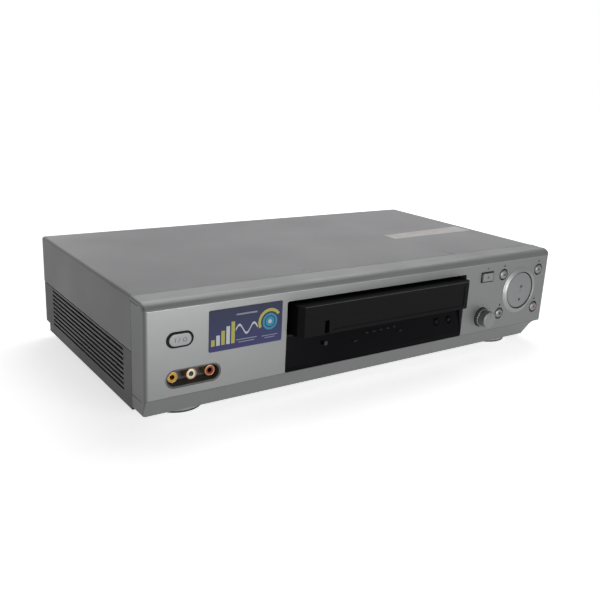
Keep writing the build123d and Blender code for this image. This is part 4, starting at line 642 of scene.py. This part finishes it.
# %% Wave and fine lines, middle of the sticker
wave_shape = bmesh.new()
wave_steps = 40
wave_low = []
wave_high = []
for step in range(wave_steps + 1):
    wave_x = -142.5 + 19 * step / wave_steps
    wave_z = 66.5 + 3.6 * math.sin(math.tau * 1.5 * step / wave_steps)
    wave_low.append((wave_x, wave_z - 0.9))
    wave_high.append((wave_x, wave_z + 0.9))
add_strip(wave_shape, wave_low, wave_high, ink_front, ink_thickness)
finish_piece("sticker_wave", wave_shape, "chassis", inks["white_ink"])
fine_lines = [rectangle(-133, 58.5 - 2.0 * row, 18 - 4 * row, 0.7) for row in range(2)]
fine_lines += [rectangle(-112.5, 58.0 - 1.7 * row, 14 - 5 * row, 0.6) for row in range(2)]
fine_lines.append(rectangle(-133, 78.5, 18, 1.2))
plates("sticker_lines", fine_lines, ink_front, ink_thickness, "chassis", inks["grey_ink"])
print("lines:", len(fine_lines))

# %% [markdown]
# Round pieces are turned: a profile of a few points goes once about an axis. The small keys have
# well rounded rims that mirror the white floor on one side and the dark of their holes on the other.
# The ring round the large disc rises towards the disc, a little hollow on the way, so it is bright
# on the side that faces the light. Both stand for the plainer solids, which stay for collision.

# %% Turned shapes


def turned(profile, middle, axis, steps=48):
    """Mesh of a closed profile turned about an axis. profile is (radius, along) in millimetres."""
    shape = bmesh.new()
    rings = []
    for step in range(steps):
        turn = math.tau * step / steps
        ring = []
        for radius, along in profile:
            wide, deep = radius * math.cos(turn) * MM, radius * math.sin(turn) * MM
            place = Vector((wide, deep, along * MM)) if axis == "Z" else Vector((wide, along * MM, deep))
            ring.append(shape.verts.new(Vector(middle) + place))
        rings.append(ring)
    for step in range(steps):
        ring, following = rings[step], rings[(step + 1) % steps]
        for here in range(len(profile)):
            after = (here + 1) % len(profile)
            shape.faces.new((ring[here], ring[after], following[after], following[here]))
    return shape


def turned_set(name, profile, middles, axis, body, material, steps=48):
    """One piece made of the same turned shape at several places."""
    whole = bmesh.new()
    for middle in middles:
        part = turned(profile, middle, axis, steps)
        mesh = bpy.data.meshes.new("part")
        part.to_mesh(mesh)
        part.free()
        whole.from_mesh(mesh)
        bpy.data.meshes.remove(mesh)
    piece = finish_piece(name, whole, body, material)
    piece.data.shade_smooth()
    piece.data.set_sharp_from_angle(angle=math.radians(50))
    return piece


print("turning helpers ready")

# %% [markdown]
# All four small keys come from one mould, so one profile is turned four times.

# %% Small round keys
key_profile = ((0, 0.0), (1.2, 0.02), (2.4, 0.12), (3.3, 0.32), (3.9, 0.62), (4.3, 1.0), (4.6, 1.5),
               (4.8, 2.2), (4.8, 4.5), (0, 4.5))
for node in ("rewind_button", "forward_button", "stop_button", "record_button"):
    middle = middle_of(node)
    key_place = (middle.x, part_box(node)[0].y, middle.z)
    key = turned_set(node.replace("_button", "_key"), key_profile, [key_place], "Y", node,
                     finishes["key_silver"])
    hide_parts(node)
print("round keys turned")

# %% [markdown]
# The ring is turned with more steps than the keys, because its edge is long and a facet would show.

# %% Ring round the large disc
ring_profile = ((18.5, 1.2), (18.5, -1.45), (18.75, -1.7), (19.2, -1.7), (20.2, -1.1), (21.4, -0.6),
                (22.5, -0.3), (22.9, -0.1), (23.0, 0.05), (23.0, 0.12), (20.0, 0.12), (20.0, 1.2))
ring_middle = middle_of("play_ring")
ring_piece = turned_set("play_ring_bevel", ring_profile, [(ring_middle.x, face_y, ring_middle.z)], "Y",
                        "chassis", finishes["ring_silver"], 96)
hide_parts("play_ring")
print("ring at", round(ring_middle.x / MM, 1), round(ring_middle.z / MM, 1))

# %% [markdown]
# The gap round the eject key and the one round the large disc look black, because light that goes in
# hardly comes out. A narrow black frame just below the surface is painted shade that stands in for that
# depth.

# %% Painted shade in the gaps
# painted shade: a matt near-black for gaps, holes and notches where only shade falls
painted_shade_black = grained("painted_shade_black", (0.0012, 0.0012, 0.0012), 0.9, shine=0.0, edge=0.00001)[0]
eject_middle = middle_of("eject_button") / MM
eject_gap = bmesh.new()
add_ring(eject_gap, rounded_rectangle(eject_middle.x, eject_middle.z, 15.35, 8.95, 1.2),
         rounded_rectangle(eject_middle.x, eject_middle.z, 16.5, 10.1, 1.7), face_y + 0.15 * MM, 0.5 * MM)
finish_piece("eject_gap", eject_gap, "chassis", painted_shade_black)
disc_gap = bmesh.new()
add_ring(disc_gap, disc(ring_middle.x / MM, ring_middle.z / MM, 18.08, 80),
         disc(ring_middle.x / MM, ring_middle.z / MM, 18.62, 80), face_y - 0.7 * MM, 1.2 * MM)
finish_piece("disc_gap", disc_gap, "chassis", painted_shade_black)
print("gaps blackened: 2")

# %% [markdown]
# The eject key and the large disc have a dark line of painted shade round their edge as well, which
# deepens the shade of the gap beside them. It rides on the key, so it goes in with it.

# %% Painted shade at the key edges
# painted shade: a dark line along the key edges, next to the gaps
painted_edge_shade = grained("painted_edge_shade", (0.02, 0.02, 0.021), 0.7, shine=0.1, edge=0.00001)[0]
eject_outline = bmesh.new()
add_ring(eject_outline, rounded_rectangle(eject_middle.x, eject_middle.z, 14.1, 7.7, 1.0),
         rounded_rectangle(eject_middle.x, eject_middle.z, 14.9, 8.5, 1.4),
         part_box("eject_button")[0].y - 0.06 * MM, 0.3 * MM)
finish_piece("eject_outline", eject_outline, "eject_button", painted_edge_shade)
disc_edge = face_y - 0.8 * MM
disc_outline = bmesh.new()
add_ring(disc_outline, disc(ring_middle.x / MM, ring_middle.z / MM, 17.45, 80),
         disc(ring_middle.x / MM, ring_middle.z / MM, 17.95, 80), disc_edge - 0.12 * MM, 0.3 * MM)
finish_piece("disc_outline", disc_outline, "play_disc", painted_edge_shade)
print("outlines: 2")

# %% [markdown]
# The keys carry the usual plain marks: triangles for the ways the tape runs, a square to stop, a dot
# to record, a triangle over a bar to eject, and a line and a broken circle for power. Each mark is a
# thin plate let into the top of its key, so it moves with the key. Above most keys the face shows
# the same mark once more, small.

# %% Marks on the keys
mark_proud = 0.03 * MM
mark_thickness = 0.3 * MM


def key_front(node):
    """Front of a key, a hair before its highest point."""
    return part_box(node)[0].y - mark_proud


def double_triangle(x, z, size, way):
    """Two small triangles side by side."""
    return [triangle(x + side * size * 0.42, z, size * 0.8, size, way) for side in (-1, 1)]


def eject_mark(x, z, size):
    """Triangle that points up, over a bar."""
    up = [(x - size / 2, z - size * 0.1), (x + size / 2, z - size * 0.1), (x, z + size * 0.5)]
    return [up, rectangle(x, z - size * 0.35, size, size * 0.2)]


key_marks = {
    "rewind_button": lambda x, z, size: double_triangle(x, z, size, -1),
    "forward_button": lambda x, z, size: double_triangle(x, z, size, 1),
    "stop_button": lambda x, z, size: [rectangle(x, z, size, size)],
    "record_button": lambda x, z, size: [disc(x, z, size * 0.55, 24)],
    "eject_button": eject_mark,
}
for node, mark in key_marks.items():
    middle = middle_of(node) / MM
    ink = inks["red_ink" if node == "record_button" else "key_ink"]
    plates(node.replace("_button", "_mark"), mark(middle.x, middle.z, 2.6), key_front(node),
           mark_thickness, node, ink)
    plates(node.replace("_button", "_face_mark"), mark(middle.x, middle.z + 8.4, 2.0),
           face_y - ink_thickness, ink_thickness, "chassis", inks["dark_ink"])
print("keys marked:", len(key_marks))

# %% [markdown]
# The power key has the usual stroke, slash and circle pressed into it, here as thin dark plates.

# %% Power mark
power_middle = middle_of("power_button") / MM
power_front = key_front("power_button")
power_shape = bmesh.new()
add_plate(power_shape, rectangle(power_middle.x - 4.2, power_middle.z, 0.45, 3.0), power_front,
          mark_thickness)
slash_foot, slash_top = power_middle.x - 1.8, power_middle.x - 0.2
slash = [(slash_foot - 0.2, power_middle.z - 1.6), (slash_foot + 0.2, power_middle.z - 1.6),
         (slash_top + 0.2, power_middle.z + 1.6), (slash_top - 0.2, power_middle.z + 1.6)]
add_plate(power_shape, slash, power_front, mark_thickness)
add_plate(power_shape, rectangle(power_middle.x + 3.4, power_middle.z + 1.1, 0.4, 1.5), power_front,
          mark_thickness)
add_arc(power_shape, power_middle.x + 3.4, power_middle.z - 0.1, 1.4, 0.4, 125, 415, power_front,
        mark_thickness)
finish_piece("power_mark", power_shape, "power_button", inks["key_ink"])
print("power mark on", "power_button")

# %% [markdown]
# The large disc has a triangle and a small dark dot. Both ride on the disc, so they go in with it.

# %% Play mark and dark dot on the large disc
play_middle = middle_of("play_disc") / MM
play_front = key_front("play_disc")
plates("play_mark", [triangle(play_middle.x + 2.0, play_middle.z + 3.6, 3.6, 3.4)], play_front,
       mark_thickness, "play_disc", inks["key_ink"])
plates("play_dot", [disc(play_middle.x + 0.8, play_middle.z - 9.5, 1.35, 24)], play_front + 0.14 * MM,
       mark_thickness, "play_disc", inks["dark_ink"])
print("play mark at", round(play_middle.x, 1), round(play_middle.z, 1))

# %% [markdown]
# The dial shows where it points by one fine line across its cap. On the face a ring of short strokes
# stands about it, as a plain scale. Both are ink.

# %% Dial's pointer and scale
dial_middle = middle_of("timer_knob") / MM
plates("dial_pointer", [rectangle(dial_middle.x, dial_middle.z + 4.6, 0.5, 4.6)], key_front("timer_knob"),
       mark_thickness, "timer_knob", inks["key_ink"])
scale_shape = bmesh.new()
for scale_turn in (35, 60, 90, 120, 145):
    add_arc(scale_shape, dial_middle.x, dial_middle.z, 12.3, 1.5, scale_turn - 1.2, scale_turn + 1.2,
            face_y - ink_thickness, ink_thickness, steps=2)
finish_piece("dial_scale", scale_shape, "chassis", inks["dark_ink"])
print("dial at", round(dial_middle.x, 1), round(dial_middle.z, 1))

# %% [markdown]
# Behind the window's glass-like plastic there are faint pale marks: one square at the left and a row
# of small strokes in the middle, which light up on the real thing. Unlit, they are dark grey on black.
# The two small keys at the window's right end carry a minus and a plus.

# %% Marks of the window
window_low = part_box("display_window")[0]
window_front = window_low.y
window_marks = [rounded_rectangle(-57.1, 41.6, 3.2, 3.4, 0.5)]
window_marks += [rectangle(-14 + 7.6 * number, 44.0 + 0.2 * number, 2.4, 0.7) for number in range(5)]
window_marks += [rectangle(-26, 38.5, 4.0, 0.7), rectangle(24, 40.0, 3.0, 0.7)]
plates("window_marks", window_marks, window_front - ink_thickness, ink_thickness, "chassis",
       inks["window_ink"])
for node, sign_outlines in (
    ("channel_down_button", [(0, 0, 2.4, 0.5)]),
    ("channel_up_button", [(0, 0, 2.4, 0.5), (0, 0.75, 0.5, 0.95), (0, -0.75, 0.5, 0.95)]),
):
    middle = middle_of(node) / MM
    outlines = [rectangle(middle.x + dx, middle.z + dz, wide, high) for dx, dz, wide, high in sign_outlines]
    plates(node.replace("_button", "_mark"), outlines, key_front(node), mark_thickness, node,
           inks["window_ink"])
print("window marks:", len(window_marks))

# %% [markdown]
# A strip of bare paper tape is stuck on the cover, with a slight pink stain in its middle. It follows
# no edge of the machine. A sheet of paper is never quite flat, so the strip is a fine grid whose
# vertices rise and fall by a few hundredths of a millimetre.

# %% Paper strip on the cover
strip_corners = [Vector(corner) * MM for corner in (
    (97.1, 115.7, 0), (96.6, 98.0, 0), (206.8, 100.2, 0), (207.1, 123.2, 0))]
strip_columns, strip_rows = 44, 8
strip_rise = 0.06 * MM


def strip_point(across, back, lift):
    """Point of the strip: across and back run from 0 to 1."""
    near = strip_corners[1].lerp(strip_corners[2], across)
    far = strip_corners[0].lerp(strip_corners[3], across)
    place = near.lerp(far, back)
    ripple = math.sin(across * 31) * math.cos(back * 7 + across * 12)
    return Vector((place.x, face_y + place.y, cover_high.z + lift * (1 + 0.4 * ripple)))


strip_shape = bmesh.new()
grids = []
for lift in (strip_rise, -0.02 * MM):
    grids.append([[strip_shape.verts.new(strip_point(column / strip_columns, row / strip_rows, lift))
                   for column in range(strip_columns + 1)] for row in range(strip_rows + 1)])
for grid in grids:
    for row in range(strip_rows):
        for column in range(strip_columns):
            strip_shape.faces.new((grid[row][column], grid[row][column + 1],
                                   grid[row + 1][column + 1], grid[row + 1][column]))
border = [(0, column) for column in range(strip_columns)]
border += [(row, strip_columns) for row in range(strip_rows)]
border += [(strip_rows, column) for column in range(strip_columns, 0, -1)]
border += [(row, 0) for row in range(strip_rows, 0, -1)]
for here, (row, column) in enumerate(border):
    next_row, next_column = border[(here + 1) % len(border)]
    strip_shape.faces.new((grids[0][row][column], grids[0][next_row][next_column],
                           grids[1][next_row][next_column], grids[1][row][column]))
paper, paper_tree, paper_shader = grained("paper_tape", (0.78, 0.78, 0.76), 0.7, shine=0.2, drift=0.12,
                                          drift_scale=60, grain_strength=0.3, edge=0.00001)
stain = pattern(paper_tree, "TexNoise", 26, (1, 2.4, 1), Detail=2)
overlay(paper_tree, paper_shader, remap(paper_tree, stain.outputs["Fac"], 0.48, 0.62, 0, 0.7),
        (0.78, 0.62, 0.64))
scuff(paper_tree, paper_shader, (152 * MM, face_y + 104 * MM, cover_high.z), 3.5 * MM, (1.5, 0.4, 1),
      (0.12, 0.12, 0.12))
finish_piece("paper_strip", strip_shape, "chassis", paper)
print("strip:", strip_columns, "by", strip_rows)

# %% [markdown]
# Each foot stands on a thin dark pad, which shows as a fine line along the floor. The pad is a low
# ring with a softened edge, turned from a short profile: a profile and a turn say a ring's shape
# better than a stack of cylinders.

# %% Pads under the feet
feet_low, feet_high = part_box("feet")
foot_radius = 22.0
foot_middles = [(x, y, 0) for x in (feet_low.x + foot_radius * MM, feet_high.x - foot_radius * MM)
                for y in (feet_low.y + foot_radius * MM, feet_high.y - foot_radius * MM)]
pad_profile = ((17.0, 0.05), (20.9, 0.05), (21.4, 0.3), (21.4, 0.9), (21.1, 1.1), (17.0, 1.1))
turned_set("foot_pads", pad_profile, foot_middles, "Z", "chassis", finishes["roller_rubber"])
print("feet at", [tuple(round(v, 3) for v in middle) for middle in foot_middles])

# %% [markdown]
# Each phono socket has a rounded lip at its mouth, turned from a short profile, and a dark hole for the
# plug's pin. A flat black ring round the hole is painted shade that makes it read as deep from far away.

# %% Lips of the front sockets
socket_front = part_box("jack_shells")[0].y
recess_middle = middle_of("av_recess") / MM
socket_places = [(recess_middle.x + step * 15.2, recess_middle.z) for step in (-1, 0, 1)]
lip_profile = ((3.45, 0.0), (3.6, -0.18), (3.85, -0.22), (4.08, -0.1), (4.18, 0.15), (4.18, 0.6),
               (3.45, 0.6))
turned_set("socket_lips", lip_profile, [(x * MM, socket_front, z * MM) for x, z in socket_places],
           "Y", "chassis", finishes["gold_plate"])
# painted shade: flat black rings that darken the pin holes
socket_mouths = bmesh.new()
for x, z in socket_places:
    add_ring(socket_mouths, disc(x, z, 1.2), disc(x, z, 1.9),
             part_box("video_jack_inserts")[0].y - 0.06 * MM, 0.08 * MM)
finish_piece("socket_mouths", socket_mouths, "chassis", painted_shade_black)
print("sockets at", [(round(x, 1), round(z, 1)) for x, z in socket_places])

# %% [markdown]
# At the back, the two aerial sockets have a screw thread. It is a three-sided ridge that climbs
# along a helix, so the script sweeps it: one small triangle at each step of the climb.

# %% Threads of the aerial sockets
aerial_low, aerial_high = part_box("aerial_sockets")
thread_radius = 4.74
thread_pitch = 0.8
thread_turns = 8
thread_steps = 32


def thread(shape, x, z, start_y):
    """Adds a helical ridge about a line along Y."""
    rows = []
    for step in range(thread_turns * thread_steps + 1):
        turn = math.tau * step / thread_steps
        along = start_y + thread_pitch * step / thread_steps * MM
        row = []
        for radius, offset in ((thread_radius, -0.3), (thread_radius + 0.32, 0), (thread_radius, 0.3)):
            row.append(shape.verts.new((x + radius * math.cos(turn) * MM, along + offset * MM,
                                        z + radius * math.sin(turn) * MM)))
        rows.append(row)
    for row, following in zip(rows, rows[1:]):
        for here in range(3):
            after = (here + 1) % 3
            shape.faces.new((row[here], row[after], following[after], following[here]))
    shape.faces.new(rows[0])
    shape.faces.new(rows[-1][::-1])


thread_shape = bmesh.new()
aerial_radius = (aerial_high.x - aerial_low.x) / 2
thread_start = aerial_high.y - (thread_turns * thread_pitch + 0.8) * MM
for aerial_z in (aerial_low.z + aerial_radius, aerial_high.z - aerial_radius):
    thread(thread_shape, (aerial_low.x + aerial_high.x) / 2, aerial_z, thread_start)
finish_piece("aerial_threads", thread_shape, "chassis", finishes["bright_metal"])
print("threads:", thread_turns, "turns each")

# %% [markdown]
# The erase tab of the cassette has been broken out, so its notch opens into the dark. A matt plate
# of near black at the foot of the notch is painted shade that stands in for the dark inside.

# %% Painted shade in the tab notch
spine_y = cassette_low.y
notch_low = (cassette_low.x / MM + 23.5 + 2.2, cassette_low.z / MM + 1.0 + 5.3)
# painted shade: a near-black plate where the notch is dark
plates("tab_notch_floor", [rectangle(*notch_low, 4.2, 10.4)], spine_y + 1.1 * MM, 0.08 * MM, "cassette",
       painted_shade_black)
print("tab notch at", [round(v, 1) for v in notch_low])
